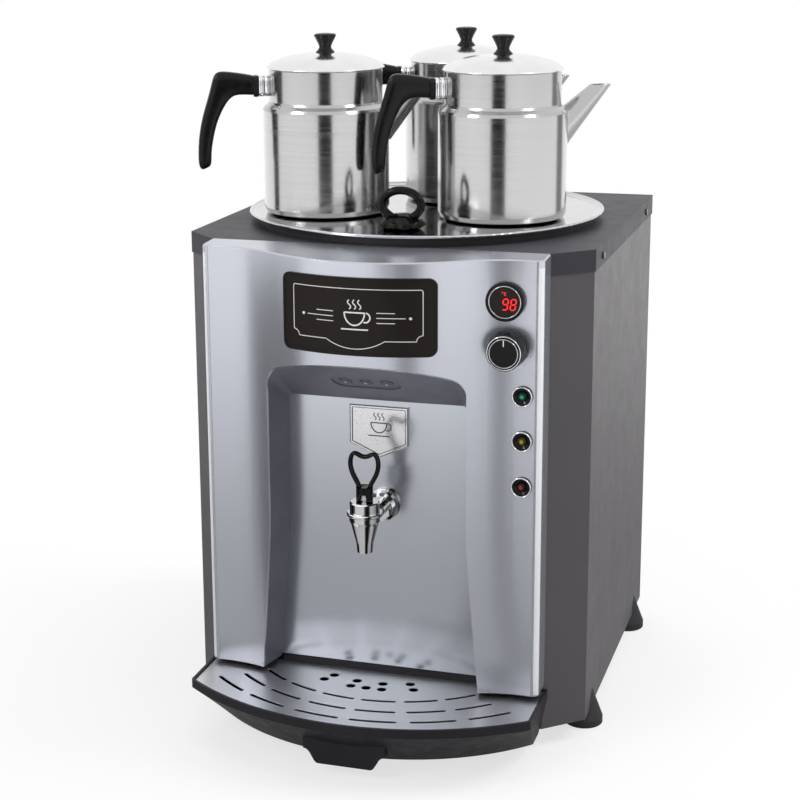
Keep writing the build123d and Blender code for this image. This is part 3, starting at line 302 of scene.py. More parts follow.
PLATE = plastic("plate_black", rgb(34, 29, 28), 0.32, 1200, 0.000005, 0.3, Specular_IOR_Level=0.12)
INK = plastic("plate_ink", rgb(222, 220, 216), 0.4, 900, 0.000004, 0.1)
PRINT = plastic("dial_print", rgb(70, 72, 78), 0.5, 900, 0.000004, 0.1)
WHITE = plastic("white_mark", rgb(238, 238, 238), 0.4, 900, 0.000004, 0.1)
WINDOW = plastic("window_black", rgb(24, 12, 13), 0.12, 800, 0.000002, 0.2, Specular_IOR_Level=0.2)
RUBBER = plastic("black_rubber", rgb(34, 33, 36), 0.55, 1300, 0.0001)
INNER = brushed("inner_steel", rgb(180, 180, 182), 0.3, (1, 1, 0.05), 700)
ZINC = chrome("zinc_steel", rgb(120, 121, 126), 0.28)
INSULATOR = plastic("insulator", rgb(214, 208, 190), 0.5)
BADGE = grained_badge()

GLOWS = {"green": glowing("lit_green", rgb(24, 130, 96), 0.35),
         "amber": glowing("lit_amber", rgb(128, 122, 26), 0.35),
         "red": glowing("lit_red_lamp", rgb(120, 30, 34), 0.25)}
FINISHES = {
    "top_cover": COVER, "right_side_panel": PANEL, "left_side_panel": PANEL, "back_panel": PANEL,
    "base_plate": HIDDEN_PAINT, "case_screws": ZINC, "feet": RUBBER, "foot_screws": ZINC,
    "front_fascia": FASCIA, "niche_liner": LINER, "niche_back_panel": WALL,
    "hood_light_plate": LINER, "name_plate": PLATE, "tap_badge": BADGE, "display_bezel": GLOSS,
    "hood_light_lenses": lens("lens_clear", rgb(66, 67, 74), rgb(92, 94, 101), 0.0),
    "display_window": WINDOW, "thermostat_knob": GLOSS, "knob_trim_ring": GLOSS,
    "thermostat_spindle": ZINC, "thermostat_control": GLOSS, "lamp_bodies": GLOSS,
    "lamp_lens_green": lens("lens_green", rgb(5, 30, 22), rgb(10, 70, 50), 0.03),
    "lamp_lens_amber": lens("lens_amber", rgb(30, 29, 8), rgb(76, 73, 18), 0.03),
    "lamp_lens_red": lens("lens_red", rgb(20, 8, 10), rgb(60, 12, 15), 0.02),
    # The tap's body, bonnet and collar carry painted reflections in their base colour.
    "tap_body": TAP_CHROME_PAINTED_REFLECTION, "tap_bonnet": TAP_CHROME_PAINTED_REFLECTION, "tap_stem": INNER, "tap_seat_cup": RUBBER,
    "tap_spring": INNER, "tap_handle": LOOP, "tap_pivot_pin": INNER, "tap_collar": TAP_CHROME_PAINTED_REFLECTION,
    "tap_nut": ZINC, "drip_tray": TRAY, "drip_grille": GRILLE, "tray_shelf": HIDDEN_PAINT,
    "boiler_tank": INNER, "tank_supports": ZINC, "heating_element": INNER, "tap_feed_pipe": ZINC,
    "terminal_block": INSULATOR, "cable_gland": GLOSS, "top_dish": DISH, "dish_gasket": RUBBER,
    "filler_cap": GLOSS,
}
for number in (1, 2, 3):
    FINISHES[f"teapot_{number}_body"] = POT
    FINISHES[f"teapot_{number}_handle"] = HANDLE
    FINISHES[f"teapot_{number}_lid"] = LID
    FINISHES[f"teapot_{number}_lid_knob"] = HANDLE
for name, node in NODES.items():
    node.data.materials.clear()
    node.data.materials.append(FINISHES[name])


# ------------------------------------------------------------------ piece helpers
MERGE_DISTANCE = 1e-7


def piece(name, points, faces, material, body, slot, smooth=True):
    """A mesh piece that rides on a body in the finish it is given; the slot is not used."""
    mesh = bpy.data.meshes.new(name)
    mesh.from_pydata(points, [], faces)
    mesh.materials.append(material)
    shell = bmesh.new()
    shell.from_mesh(mesh)
    bmesh.ops.remove_doubles(shell, verts=shell.verts, dist=MERGE_DISTANCE)
    bmesh.ops.recalc_face_normals(shell, faces=shell.faces)
    shell.to_mesh(mesh)
    shell.free()
    mesh.polygons.foreach_set("use_smooth", [smooth] * len(mesh.polygons))
    made = bpy.data.objects.new(name, mesh)
    bpy.context.scene.collection.objects.link(made)
    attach(made, body)
    return made


def soften(made, levels=2):
    """Subdivision that rounds a piece, kept as a modifier."""
    rounding = made.modifiers.new("round", "SUBSURF")
    rounding.levels = levels
    rounding.render_levels = levels


def rings(loops, closed=False, capped=True):
    """Points and faces of a skin over loops that all have as many points."""
    count = len(loops[0])
    points = [point for loop in loops for point in loop]
    faces = []
    last = len(loops) if closed else len(loops) - 1
    for row in range(last):
        for step in range(count):
            here = row * count + step
            beside = row * count + (step + 1) % count
            above = (row + 1) % len(loops) * count
            faces.append((here, beside, above + (step + 1) % count, above + step))
    if capped and not closed:
        faces.append(tuple(range(count)))
        faces.append(tuple(range((len(loops) - 1) * count, len(loops) * count)))
    return points, faces


def circle(steps):
    """Cosine and sine at each step of a full turn."""
    angles = [2 * pi * step / steps for step in range(steps)]
    return [(cos(angle), sin(angle)) for angle in angles]


def forward_ring(centre, profile, steps=72):
    """Loops about an axis along the depth, from a profile of radius and way forward in mm."""
    return [[centre + Vector((radius * c, -out, radius * s)) * MM for c, s in circle(steps)]
            for radius, out in profile]


def turned(centre, profile, steps=96):
    """Loops about an upright axis, from a profile of radius and height in mm."""
    return [[centre + Vector((radius * c, radius * s, height)) * MM for c, s in circle(steps)]
            for radius, height in profile]


def skin(node):
    """Ray test on a CAD node's surface, as it lies at rest."""
    mesh = NODES[node].data
    points = [vertex.co.copy() for vertex in mesh.vertices]
    return BVHTree.FromPolygons(points, [tuple(face.vertices) for face in mesh.polygons])


def on_front(tree, x, z, lift=0.08):
    """Point just proud of a surface, as seen from straight ahead, from places in mm."""
    hit = tree.ray_cast(Vector((x * MM, -0.6, z * MM)), Vector((0, 1, 0)))[0]
    return hit - Vector((0, lift * MM, 0))


def stroke(path, width, closed=False):
    """Flat strip of quads along a path of (u, v) points in mm."""
    path = [Vector(point) for point in path]
    count = len(path)
    left, right = [], []
    for index, point in enumerate(path):
        before = path[index - 1] if closed or index else point
        after = path[(index + 1) % count] if closed or index < count - 1 else point
        along = (after - before).normalized()
        side = Vector((-along.y, along.x)) * width / 2
        left.append(point + side)
        right.append(point - side)
    faces = []
    for index in range(count if closed else count - 1):
        after = (index + 1) % count
        faces.append((index, after, count + after, count + index))
    return left + right, faces


def flat(name, shapes, place, material, body, slot):
    """Strips and outlines of (u, v) points laid on a surface by a placing function."""
    points, faces = [], []
    for shape, quads in shapes:
        start = len(points)
        points += [place(point[0], point[1]) for point in shape]
        faces += [tuple(start + index for index in quad) for quad in quads]
    piece(name, points, faces, material, body, slot, smooth=False)


def disc(x, z, radius, steps=14):
    """Outline of a round dot as one face."""
    return [(x + radius * c, z + radius * s) for c, s in circle(steps)], [tuple(range(steps))]


def arc(x, z, radius, start, end, steps):
    """Points on an arc, in degrees."""
    angles = [radians(start + (end - start) * s / steps) for s in range(steps + 1)]
    return [(x + radius * cos(a), z + radius * sin(a)) for a in angles]


def dense(points, step=3.0):
    """The same path with points no further apart than about a step."""
    path = []
    for here, after in zip(points, points[1:]):
        run = hypot(after[0] - here[0], after[1] - here[1])
        parts = max(1, int(run / step))
        for part in range(parts):
            share = part / parts
            path.append((here[0] + (after[0] - here[0]) * share,
                         here[1] + (after[1] - here[1]) * share))
    return path + [points[-1]]


def moved(shapes, x, z):
    """The same flat shapes at another place."""
    return [([(u + x, v + z) for u, v in shape], quads) for shape, quads in shapes]


def cup_pictogram(size):
    """Plain cup on a saucer with three wisps of steam, about (0, 0)."""
    def scaled(points):
        return [(x * size, z * size) for x, z in points]

    width = 1.3 * size
    angles = [radians(degrees) for degrees in range(180, 361, 12)]
    bowl = [(-9, 4)] + [(9 * cos(a), 4 + 11 * sin(a)) for a in angles] + [(9, 4), (-9, 4)]
    shapes = [stroke(dense(scaled(bowl)), width),
              stroke(scaled(arc(9.5, 0, 4.2, 80, -110, 12)), width),
              stroke(dense(scaled([(-12, -10.5), (12, -10.5)])), width)]
    for x in (-4.5, 0, 4.5):
        wisp = [(x + 1.4 * sin(t / 10 * 2 * pi), 7 + 8 * t / 10) for t in range(11)]
        shapes.append(stroke(scaled(wisp), width * 0.8))
    return shapes


# ------------------------------------------------------------------ front details
PLATE_LINE = 0.8
PLATE_HEIGHT = 463
DIAL_RADIUS, DIAL_START, DIAL_STEP, DIAL_DOTS = 22.4, 225, 9, 31
DOT_RADIUS, LARGE_DOT_RADIUS = 0.3, 0.55
TICK = ((-0.5, 7.2), (0.5, 7.2), (0.5, 13.2), (-0.5, 13.2))
FACE_RING = ((13.6, 0.0), (13.8, 0.3), (14.3, 0.3), (14.5, 0.0))
EDGE_RING = ((15.9, -1.6), (16.1, -1.1), (16.9, -1.1), (17.1, -1.6))
DISPLAY_RING = ((15.0, -0.1), (15.2, 0.9), (15.5, 1.1), (16.0, 1.05), (16.2, 0.78))
LAMP_RING = ((8.9, -0.1), (9.1, 0.35), (9.6, 0.5), (10.1, 0.2), (10.1, -1.5))
GLOW_RADIUS = 1.9
DOT_STEPS = 16
DIGIT_BARS = {"8": "abcdefg", "9": "abcdfg"}
DIGIT_WIDE, DIGIT_HIGH, DIGIT_SLANT = 4.9, 10.6, 0.14
BAR_HALF, BAR_GAP, BAR_TIP = 0.62, 0.35, 0.6
BADGE_CENTRE = (3, 334)
BADGE_SHADE_LINE = ((31.2, 352.9), (-25.2, 352.9), (-25.2, 317.2), (3, 304.4), (31.2, 317.2),
              (31.2, 352.9))
HOOD_TILT = atan(0.722)
HOOD_LEDS = (-21.5, 0, 21.5)
HOOD_MIDDLE = (-0.180, 0.3877)
LED_RADIUS, LED_PROUD = 1.5, 0.15
fascia_skin = skin("front_fascia")
plate_skin = skin("name_plate")
badge_skin = skin("tap_badge")


def plate_art():
    """Border, cup and lines printed on the name plate."""
    border = [(0, 491), (64, 491)] + arc(64, 489, 2, 90, 0, 4) + [(66, 446)]
    border += arc(66, 440, 6, 90, 180, 5) + [(58, 440), (30, 440)]
    border = dense(border + arc(0, 488, 56.6, -58, -90, 10))
    border += [(-x, z) for x, z in reversed(border[1:-1])]
    art = [stroke(border, PLATE_LINE, closed=True)]
    art += moved(cup_pictogram(1.15), 0, PLATE_HEIGHT)
    for side in (-1, 1):
        for lift, reach in ((0, 50), (5, 40), (-5, 40)):
            height = PLATE_HEIGHT + lift
            art.append(stroke(dense([(side * 22, height), (side * reach, height)]), PLATE_LINE))
        art.append(disc(side * 54.5, PLATE_HEIGHT, 1.5))
    return art


def dial_dots():
    """Dots round the thermostat knob, a larger one at every third step."""
    dots = []
    for step in range(DIAL_DOTS):
        angle = radians(DIAL_START - step * DIAL_STEP)
        x, z = KNOB_X + DIAL_RADIUS * cos(angle), KNOB_Z + DIAL_RADIUS * sin(angle)
        dots.append(disc(x, z, DOT_RADIUS if step % 3 else LARGE_DOT_RADIUS, 10))
    return dots


flat("name_plate_art", plate_art(), lambda x, z: on_front(plate_skin, x, z), INK, "urn",
     "plate_black")
flat("dial_scale", dial_dots(), lambda x, z: on_front(fascia_skin, x, z), PRINT, "urn",
     "plate_black")
flat("knob_tick", [(TICK, [(0, 1, 2, 3)])], lambda x, z: KNOB + Vector((x, -0.08, z)) * MM,
     WHITE, "thermostat", "gloss_black")
for name, centre, profile, finish, body in (
        ("knob_face_ring", KNOB, FACE_RING, THIN_CHROME, "thermostat"),
        ("knob_edge_ring", KNOB, EDGE_RING, CHROME, "thermostat"),
        ("display_ring", DISPLAY, DISPLAY_RING, THIN_CHROME, "urn")):
    loops = forward_ring(centre, profile)
    piece(name, *rings(loops, capped=False), finish, body, "bright_chrome")
for colour, height in LAMP_HEIGHTS.items():
    centre = Vector((LAMP_X, LAMP_FACE, height))
    loops = forward_ring(centre, LAMP_RING)
    piece(f"lamp_ring_{colour}", *rings(loops, capped=False), CHROME, "urn", "bright_chrome")
    glow = [centre + Vector((GLOW_RADIUS * c, 0.1, GLOW_RADIUS * s)) * MM
            for c, s in circle(DOT_STEPS)]
    piece(f"lamp_glow_{colour}", glow, [tuple(range(DOT_STEPS))], GLOWS[colour], "urn",
          f"lens_{colour}", smooth=False)


def digit(figure, x, z):
    """Seven-segment digit of slanted six-sided bars."""
    half, rise = DIGIT_WIDE / 2, DIGIT_HIGH / 2
    ends = {"a": ((-half, DIGIT_HIGH), (half, DIGIT_HIGH)), "b": ((half, rise), (half, DIGIT_HIGH)),
            "c": ((half, 0), (half, rise)), "d": ((-half, 0), (half, 0)),
            "e": ((-half, 0), (-half, rise)), "f": ((-half, rise), (-half, DIGIT_HIGH)),
            "g": ((-half, rise), (half, rise))}
    shapes = []
    for bar in DIGIT_BARS[figure]:
        start, end = (Vector(point) for point in ends[bar])
        along = (end - start).normalized()
        across = Vector((-along.y, along.x)) * BAR_HALF
        start += along * BAR_GAP
        end -= along * BAR_GAP
        tip = along * BAR_TIP
        shape = [start, start + tip + across, end - tip + across, end,
                 end - tip - across, start + tip - across]
        shape = [(x + p.x + DIGIT_SLANT * p.y, z + p.y) for p in shape]
        shapes.append((shape, [tuple(range(6))]))
    return shapes


figures = digit("9", -0.2, -7.4) + digit("8", 7.6, -7.4)
figures.append(stroke(arc(0.6, 8.2, 1.3, 60, 300, 8), 0.7))
figures.append(stroke(arc(-2.4, 9.6, 0.6, 0, 360, 8), 0.4))
flat("display_figures", figures, lambda x, z: DISPLAY + Vector((x, -0.06, z)) * MM,
     glowing("lit_red", rgb(255, 30, 22), 1.0), "urn", "window_black")

badge_art_and_shade = moved(cup_pictogram(0.95), *BADGE_CENTRE)
# Painted shadow: a dark line along the inside of the badge's rim, in the same dark chrome as the
# cup.
badge_art_and_shade.append(stroke(dense(BADGE_SHADE_LINE)[:-1], 0.7, closed=True))
flat("badge_art_and_shade", badge_art_and_shade, lambda x, z: on_front(badge_skin, x, z, 0.15),
     chrome("badge_ink_and_shade", rgb(96, 96, 98), 0.3, 0.1), "urn", "bright_chrome")

hood_out = Vector((0, -sin(HOOD_TILT), -cos(HOOD_TILT)))
hood_up = Vector((0, -cos(HOOD_TILT), sin(HOOD_TILT)))
led = glowing("led_white", rgb(168, 172, 182), 0.25)
for number, x in enumerate(HOOD_LEDS, start=1):
    middle = Vector((x * MM, *HOOD_MIDDLE)) + hood_out * LED_PROUD * MM
    points = [middle + (Vector((1, 0, 0)) * c + hood_up * s) * LED_RADIUS * MM
              for c, s in circle(DOT_STEPS)]
    piece(f"hood_led_{number}", points, [tuple(range(DOT_STEPS))], led, "urn", "lens_clear",
          smooth=False)


# ------------------------------------------------------------------ column lips (painted highlight)
LIP_AXIS = (170.9, -165.6)
LIP_FOOT, LIP_TOP = 1.5, 0.5115
LIP_ROWS, LIP_PARTS = 60, 8
LIP_START, LIP_SWEEP = -79, 62
LIP_PROUD = 0.12


def lip(name, side):
    """Strip that hugs the outer front corner of a column, in a lighter copy of the fascia silver: a
    painted highlight.
    """
    centre = Vector((side * LIP_AXIS[0], LIP_AXIS[1], 0)) * MM
    low = min(vertex.co.z for vertex in NODES["front_fascia"].data.vertices) + LIP_FOOT * MM
    wide = LIP_PARTS + 1
    loops = []
    for step in range(LIP_ROWS + 1):
        height = low + (LIP_TOP - low) * step / LIP_ROWS
        row = []
        for part in range(wide):
            angle = radians(LIP_START + LIP_SWEEP * part / LIP_PARTS)
            out = Vector((side * cos(angle), sin(angle), 0))
            start = centre + out * 0.05 + Vector((0, 0, height))
            hit = fascia_skin.ray_cast(start, -out, 0.06)[0]
            if hit:
                row.append(hit + out * LIP_PROUD * MM)
        if len(row) == wide:
            loops.append(row)
    points = [point for row in loops for point in row]
    faces = [(wide * r + s, wide * r + s + 1, wide * r + s + wide + 1, wide * r + s + wide)
             for r in range(len(loops) - 1) for s in range(LIP_PARTS)]
    piece(name, points, faces, LIP_PAINTED_HIGHLIGHT, "urn", "fascia_metal")


lip("lip_right", 1)
lip("lip_left", -1)


# ------------------------------------------------------------------ tap handle
NECK_TOP = 0.2908
TAP_X, TAP_Y = 8, -213
LOOP_HALF = ((0, 321.4), (4, 322.4), (8, 324.8), (11.2, 325.4), (13.9, 321), (14.8, 314),
             (13.4, 306.5), (10.3, 300), (7, 294.4), (5, 289.4), (4.6, 284))
LOOP_WIDE, LOOP_DEEP = 2.5, 3.6


def tap_handle():
    """The neck of the handle with a smooth rounded loop above it."""
    mesh = bmesh.new()
    mesh.from_mesh(NODES["tap_handle"].data)
    everything = mesh.verts[:] + mesh.edges[:] + mesh.faces[:]
    cut = bmesh.ops.bisect_plane(mesh, geom=everything, plane_co=(0, 0, NECK_TOP),
                                 plane_no=(0, 0, 1), clear_outer=True)
    edges = [edge for edge in cut["geom_cut"] if isinstance(edge, bmesh.types.BMEdge)]
    bmesh.ops.holes_fill(mesh, edges=edges)
    points = [vertex.co.copy() for vertex in mesh.verts]
    mesh.verts.index_update()
    faces = [tuple(vertex.index for vertex in face.verts) for face in mesh.faces]
    mesh.free()
    neck = piece("tap_handle_neck", points, faces, LOOP, "tap_lever", "gloss_black", smooth=False)
    path = [(-x, z) for x, z in reversed(LOOP_HALF[1:])] + list(LOOP_HALF)
    loops = []
    for index, (x, z) in enumerate(path):
        before, after = path[max(index - 1, 0)], path[min(index + 1, len(path) - 1)]
        along = Vector((after[0] - before[0], 0, after[1] - before[1])).normalized()
        out = Vector((along.z, 0, -along.x))
        middle = Vector((TAP_X + x, TAP_Y, z))
        loops.append([(middle + out * LOOP_WIDE * c + Vector((0, LOOP_DEEP * s, 0))) * MM
                      for c, s in circle(12)])
    soften(piece("tap_handle_loop", *rings(loops), LOOP, "tap_lever", "gloss_black"))
    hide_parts("tap_handle")


tap_handle()


# ------------------------------------------------------------------ dish rim and filler cap
DISH_Y = 47
BEAD_RING, BEAD_HEIGHT, BEAD_RADIUS = 191.2, 530.2, 1.7
CAP_X, CAP_Y = 10, -85
CAP_PROFILE = ((14.2, 512, 0), (16.2, 511.4, 0), (16.2, 529.4, 0), (18.8, 529.5, 0),
               (20.3, 530.6, 0.3), (22.4, 532.6, 0.9), (23.3, 534.2, 1), (23, 536.2, 1),
               (20.6, 537.4, 0.8), (18.2, 538.8, 0.45), (14.6, 541.6, 0.25), (10.2, 544, 0.1),
               (4.5, 545.2, 0), (0.6, 545.4, 0))
CAP_STEPS, CAP_LOBES, LOBE_DEPTH = 96, 8, 0.09
RING_WIDE, RING_HIGH, RING_HEIGHT = 20.8, 15.2, 553.2
RING_START, RING_SWEEP, RING_ROWS = -52, 284, 48
RING_HALF, RING_DEEP, RING_NIP, RING_FOOT = 4.3, 4.8, 3.4, 1.2


def filler_cap():
    """Lobed cap with a smooth finger ring."""
    loops = []
    for radius, height, lobe in CAP_PROFILE:
        loop = []
        for step in range(CAP_STEPS):
            angle = 2 * pi * step / CAP_STEPS
            spread = radius * (1 + lobe * LOBE_DEPTH * cos(CAP_LOBES * angle))
            x, y = CAP_X + spread * cos(angle), CAP_Y + spread * sin(angle)
            loop.append(Vector((x, y, height)) * MM)
        loops.append(loop)
    cap = piece("filler_cap_shell", *rings(loops), GLOSS, "cap", "gloss_black")
    loops = []
    for step in range(RING_ROWS + 1):
        angle = radians(RING_START + RING_SWEEP * step / RING_ROWS)
        low = max(0, -sin(angle))
        wide = RING_WIDE + RING_NIP * low * sin(angle)
        middle = Vector((CAP_X + wide * cos(angle), CAP_Y, RING_HEIGHT + RING_HIGH * sin(angle)))
        out = Vector((cos(angle) / RING_WIDE, 0, sin(angle) / RING_HIGH)).normalized()
        deep = RING_DEEP + RING_FOOT * low
        loops.append([(middle + out * RING_HALF * c + Vector((0, deep * s, 0))) * MM
                      for c, s in circle(16)])
    piece("filler_cap_ring", *rings(loops), GLOSS, "cap", "gloss_black")
    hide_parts("filler_cap")


bead = [(BEAD_RING + BEAD_RADIUS * c, BEAD_HEIGHT + BEAD_RADIUS * s) for c, s in circle(16)]
loops = turned(Vector((0, DISH_Y, 0)) * MM, bead, 180)
piece("dish_bead", *rings(loops, closed=True), DISH, "urn", "dish_steel")
filler_cap()


# ------------------------------------------------------------------ teapot handles
GRIP = (
    ((74.5, 147), (74.5, 126.4), 8.6), ((80, 148.4), (80, 127), 8.7), ((88, 150), (89, 127.4), 8.6),
    ((98, 151.6), (97.5, 127.2), 8.5), ((108, 152.8), (102.3, 124), 8.5),
    ((116, 152.8), (105.8, 120.2), 8.5), ((120.6, 148.2), (108.6, 116), 8.5),
    ((123.4, 136.4), (111.8, 110.5), 8.4), ((127.2, 123.4), (115, 103.6), 8.3),
    ((131.8, 109.6), (118, 96), 8.2), ((135.4, 95.6), (120.4, 87), 8.1),
    ((137.8, 81), (122.4, 77.6), 8.0), ((138.8, 66.4), (123.8, 69), 7.8),
    ((138.8, 55.6), (124.3, 61.6), 7.4), ((137.6, 50.4), (124.4, 56.4), 6.6),
    ((134.6, 47.4), (125.4, 51.4), 5.2),
)
FERRULE = ((-61.5, 0.1), (-62, 0.5), (-65.6, 0.5), (-65.8, -0.6), (-66.8, -0.6), (-67, 0.5),
           (-71.8, 0.5), (-72.3, 0.0))
COLLAR = ((-72.3, 0.1), (-72.8, 0.7), (-76, 0.9), (-77.6, 0.6), (-78, -0.3))
ARM_HALF, ARM_BOTTOM, ARM_TOP, ARM_CORNER = 9, 126, 147, 5
ROUNDNESS, FLANK = 0.62, 0.95
RIDGE_HEIGHT, RIDGE_PLACE = 0.07, 0.25


def section(outer, inner, half, turn, base, steps=20):
    """Rounded section of the grip with a soft ridge on each flank."""
    outer, inner = Vector((-outer[0], 0, outer[1])), Vector((-inner[0], 0, inner[1]))
    middle, along = (outer + inner) / 2, (outer - inner) / 2
    loop = []
    for c, s in circle(steps):
        u = abs(c) ** ROUNDNESS * (1 if c >= 0 else -1)
        v = abs(s) ** ROUNDNESS * (1 if s >= 0 else -1)
        ridge = 1 + RIDGE_HEIGHT * max(0, 1 - abs(u - RIDGE_PLACE) / RIDGE_PLACE)
        point = middle + along * u + Vector((0, half * v * FLANK * ridge, 0))
        loop.append(base + turn @ point * MM)
    return loop


def arm_loop(x, grow, turn, base):
    """Loop of a rounded rectangle across the handle's arm, grown by a little."""
    half, corner = ARM_HALF + grow, ARM_CORNER
    middle, rise = (ARM_TOP + ARM_BOTTOM) / 2, (ARM_TOP - ARM_BOTTOM) / 2 + grow
    loop = []
    for cy, cz, start in ((1, 1, 0), (-1, 1, 90), (-1, -1, 180), (1, -1, 270)):
        for step in range(5):
            angle = radians(start + 22.5 * step)
            y = cy * (half - corner) + corner * cos(angle)
            z = middle + cz * (rise - corner) + corner * sin(angle)
            loop.append(base + turn @ Vector((x, y, z)) * MM)
    return loop


for number, (pot_x, pot_y, angle) in enumerate(POTS, start=1):
    base = Vector((pot_x, pot_y, POT_BASE))
    turn = Matrix.Rotation(radians(angle), 3, "Z")
    body = f"teapot_{number}"
    loops = [section(*station, turn, base) for station in GRIP]
    grip = piece(f"grip_{number}", *rings(loops), HANDLE, body, "handle_plastic")
    soften(grip)
    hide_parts(f"teapot_{number}_handle")
    loops = [arm_loop(x, grow, turn, base) for x, grow in FERRULE]
    piece(f"ferrule_{number}", *rings(loops, capped=False), CHROME, body, "pot_steel")
    loops = [arm_loop(x, grow, turn, base) for x, grow in COLLAR]
    piece(f"grip_collar_{number}", *rings(loops), HANDLE, body, "handle_plastic")


# ------------------------------------------------------------------ lids and their knobs
LID_RADIUS, LID_RISE, LID_SEAT = 62.4, 15, 156
LID_RIM = ((59.2, 150.2), (59.4, 154.2), (62.9, 154.2), (63.4, 154.7), (63.4, 155.5), (62.8, 156.1))
LID_CROWN = ((0.4, LID_SEAT + LID_RISE),)
LID_KNOB = ((10.4, 170.2), (10.6, 170.8), (9.6, 172), (7.4, 174.4), (6.5, 176.4), (7.0, 178.4),
            (8.6, 181.8), (10.4, 185.2), (11.9, 187.9), (12.2, 188.6), (11.6, 189.8),
            (9.6, 190.6), (5, 191.1), (0.4, 191.2))
LID_KNOB_SIDES = 12
dome = tuple((LID_RADIUS * cos(a), LID_SEAT + LID_RISE * sin(a) ** 1.15)
             for a in (pi / 2 * step / 18 for step in range(1, 18)))
for number, (pot_x, pot_y, _) in enumerate(POTS, start=1):
    centre = Vector((pot_x, pot_y, POT_BASE))
    body = f"lid_{number}"
    loops = turned(centre, LID_RIM + dome + LID_CROWN)
    lid = piece(f"lid_dome_{number}", *rings(loops), LID, body, "lid_steel")
    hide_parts(f"teapot_{number}_lid")
    loops = turned(centre, LID_KNOB, LID_KNOB_SIDES)
    grip = piece(f"lid_grip_{number}", *rings(loops), HANDLE, body, "handle_plastic")
    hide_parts(f"teapot_{number}_lid_knob")


# ------------------------------------------------------------------ screw recesses, painted as dark crosses of shade
SCREW_X, SCREW_HEIGHT = 217.08, 0.5075
SCREW_DEPTHS = (-0.067, 0.215)
# Painted shade: flat black crosses laid on the side screw heads where their cross recesses would be
# shaded.
CROSS_BARS = ((0.35, 2.2), (2.2, 0.35))
shaded_crosses = []
for side in (-1, 1):
    for y in SCREW_DEPTHS:
        for deep, high in CROSS_BARS:
            x = side * SCREW_X
            shaded_crosses.append([Vector((x * MM, y + a * deep * MM, SCREW_HEIGHT + b * high * MM))
                            for a, b in ((-1, -1), (1, -1), (1, 1), (-1, 1))])
points = [point for cross in shaded_crosses for point in cross]
quads = [tuple(range(4 * n, 4 * n + 4)) for n in range(len(shaded_crosses))]
piece("screw_recess_shade", points, quads, GLOSS, "urn", "zinc_steel", smooth=False)


# ------------------------------------------------------------------ stage
FLOOR_SIZE = 14
FLOOR_WHITE = ((0.3, 0.7), (0.85, 1.0))
# Painted shade seen in reflections: the floor's level on glossy rays, dim near the object, above
# white far off.
FLOOR_GLOSS_PAINTED_SHADE = ((0.5, 0.32), (2.4, 1.3))
WORLD_LIT, WORLD_SEEN = 0.5, 0.5
SOFTBOX_AIM = 0.45


def maths(tree, operation, first, second):
    """Result of a maths node over sockets or plain numbers."""
    made = tree.nodes.new("ShaderNodeMath")
    made.operation = operation
    for socket, source in zip(made.inputs, (first, second)):
        if isinstance(source, float):
            socket.default_value = source
        else:
            tree.links.new(source, socket)
    return made.outputs["Value"]


def seen_factor(tree, level):
    """A level on camera, glossy and transmission rays, and nothing on the rest."""
    path = tree.nodes.new("ShaderNodeLightPath").outputs
    seen = maths(tree, "MAXIMUM", path["Is Camera Ray"], path["Is Glossy Ray"])
    seen = maths(tree, "MAXIMUM", seen, path["Is Transmission Ray"])
    return maths(tree, "MULTIPLY", seen, level)


def graded(tree, source, stops):
    """A value that runs from one stop to the other with its source, each (source, value)."""
    made = tree.nodes.new("ShaderNodeMapRange")
    for end, (place, value) in zip(("Min", "Max"), stops):
        made.inputs[f"From {end}"].default_value = place
        made.inputs[f"To {end}"].default_value = value
    tree.links.new(source, made.inputs["Value"])
    return made.outputs["Result"]


def floor_material():
    """Pale floor: white to the camera, with painted shade in reflections, dim near the object and
    above white far off; the object's shadow kept.
    """
    material = bpy.data.materials.new("floor")
    material.use_nodes = True
    tree = material.node_tree
    tree.nodes.clear()
    coordinates = tree.nodes.new("ShaderNodeTexCoord")
    distance = tree.nodes.new("ShaderNodeVectorMath")
    distance.operation = "LENGTH"
    tree.links.new(coordinates.outputs["Object"], distance.inputs[0])
    reach = distance.outputs["Value"]
    level = tree.nodes.new("ShaderNodeMix")
    level.data_type = "FLOAT"
    level.inputs["A"].default_value = 1.0
    path = tree.nodes.new("ShaderNodeLightPath")
    tree.links.new(path.outputs["Is Glossy Ray"], level.inputs["Factor"])
    tree.links.new(graded(tree, reach, FLOOR_GLOSS_PAINTED_SHADE), level.inputs["B"])
    diffuse = tree.nodes.new("ShaderNodeBsdfDiffuse")
    diffuse.inputs["Color"].default_value = (0.9, 0.9, 0.9, 1)
    white = tree.nodes.new("ShaderNodeEmission")
    tree.links.new(level.outputs["Result"], white.inputs["Strength"])
    mix = tree.nodes.new("ShaderNodeMixShader")
    shown = maths(tree, "MULTIPLY", seen_factor(tree, 1.0), graded(tree, reach, FLOOR_WHITE))
    tree.links.new(shown, mix.inputs["Fac"])
    tree.links.new(diffuse.outputs["BSDF"], mix.inputs[1])
    tree.links.new(white.outputs["Emission"], mix.inputs[2])
    output = tree.nodes.new("ShaderNodeOutputMaterial")
    tree.links.new(mix.outputs["Shader"], output.inputs["Surface"])
    return material


def staged(name, points, faces, material):
    """Sheet of the studio, not part of the object."""
    mesh = bpy.data.meshes.new(name)
    mesh.from_pydata(points, [], faces)
    mesh.materials.append(material)
    made = bpy.data.objects.new(name, mesh)
    bpy.context.scene.collection.objects.link(made)
    return made


def oblong(wide, high):
    """Corners of a flat rectangle about the origin."""
    x, y = wide / 2, high / 2
    return [(-x, -y, 0), (x, -y, 0), (x, y, 0), (-x, y, 0)]


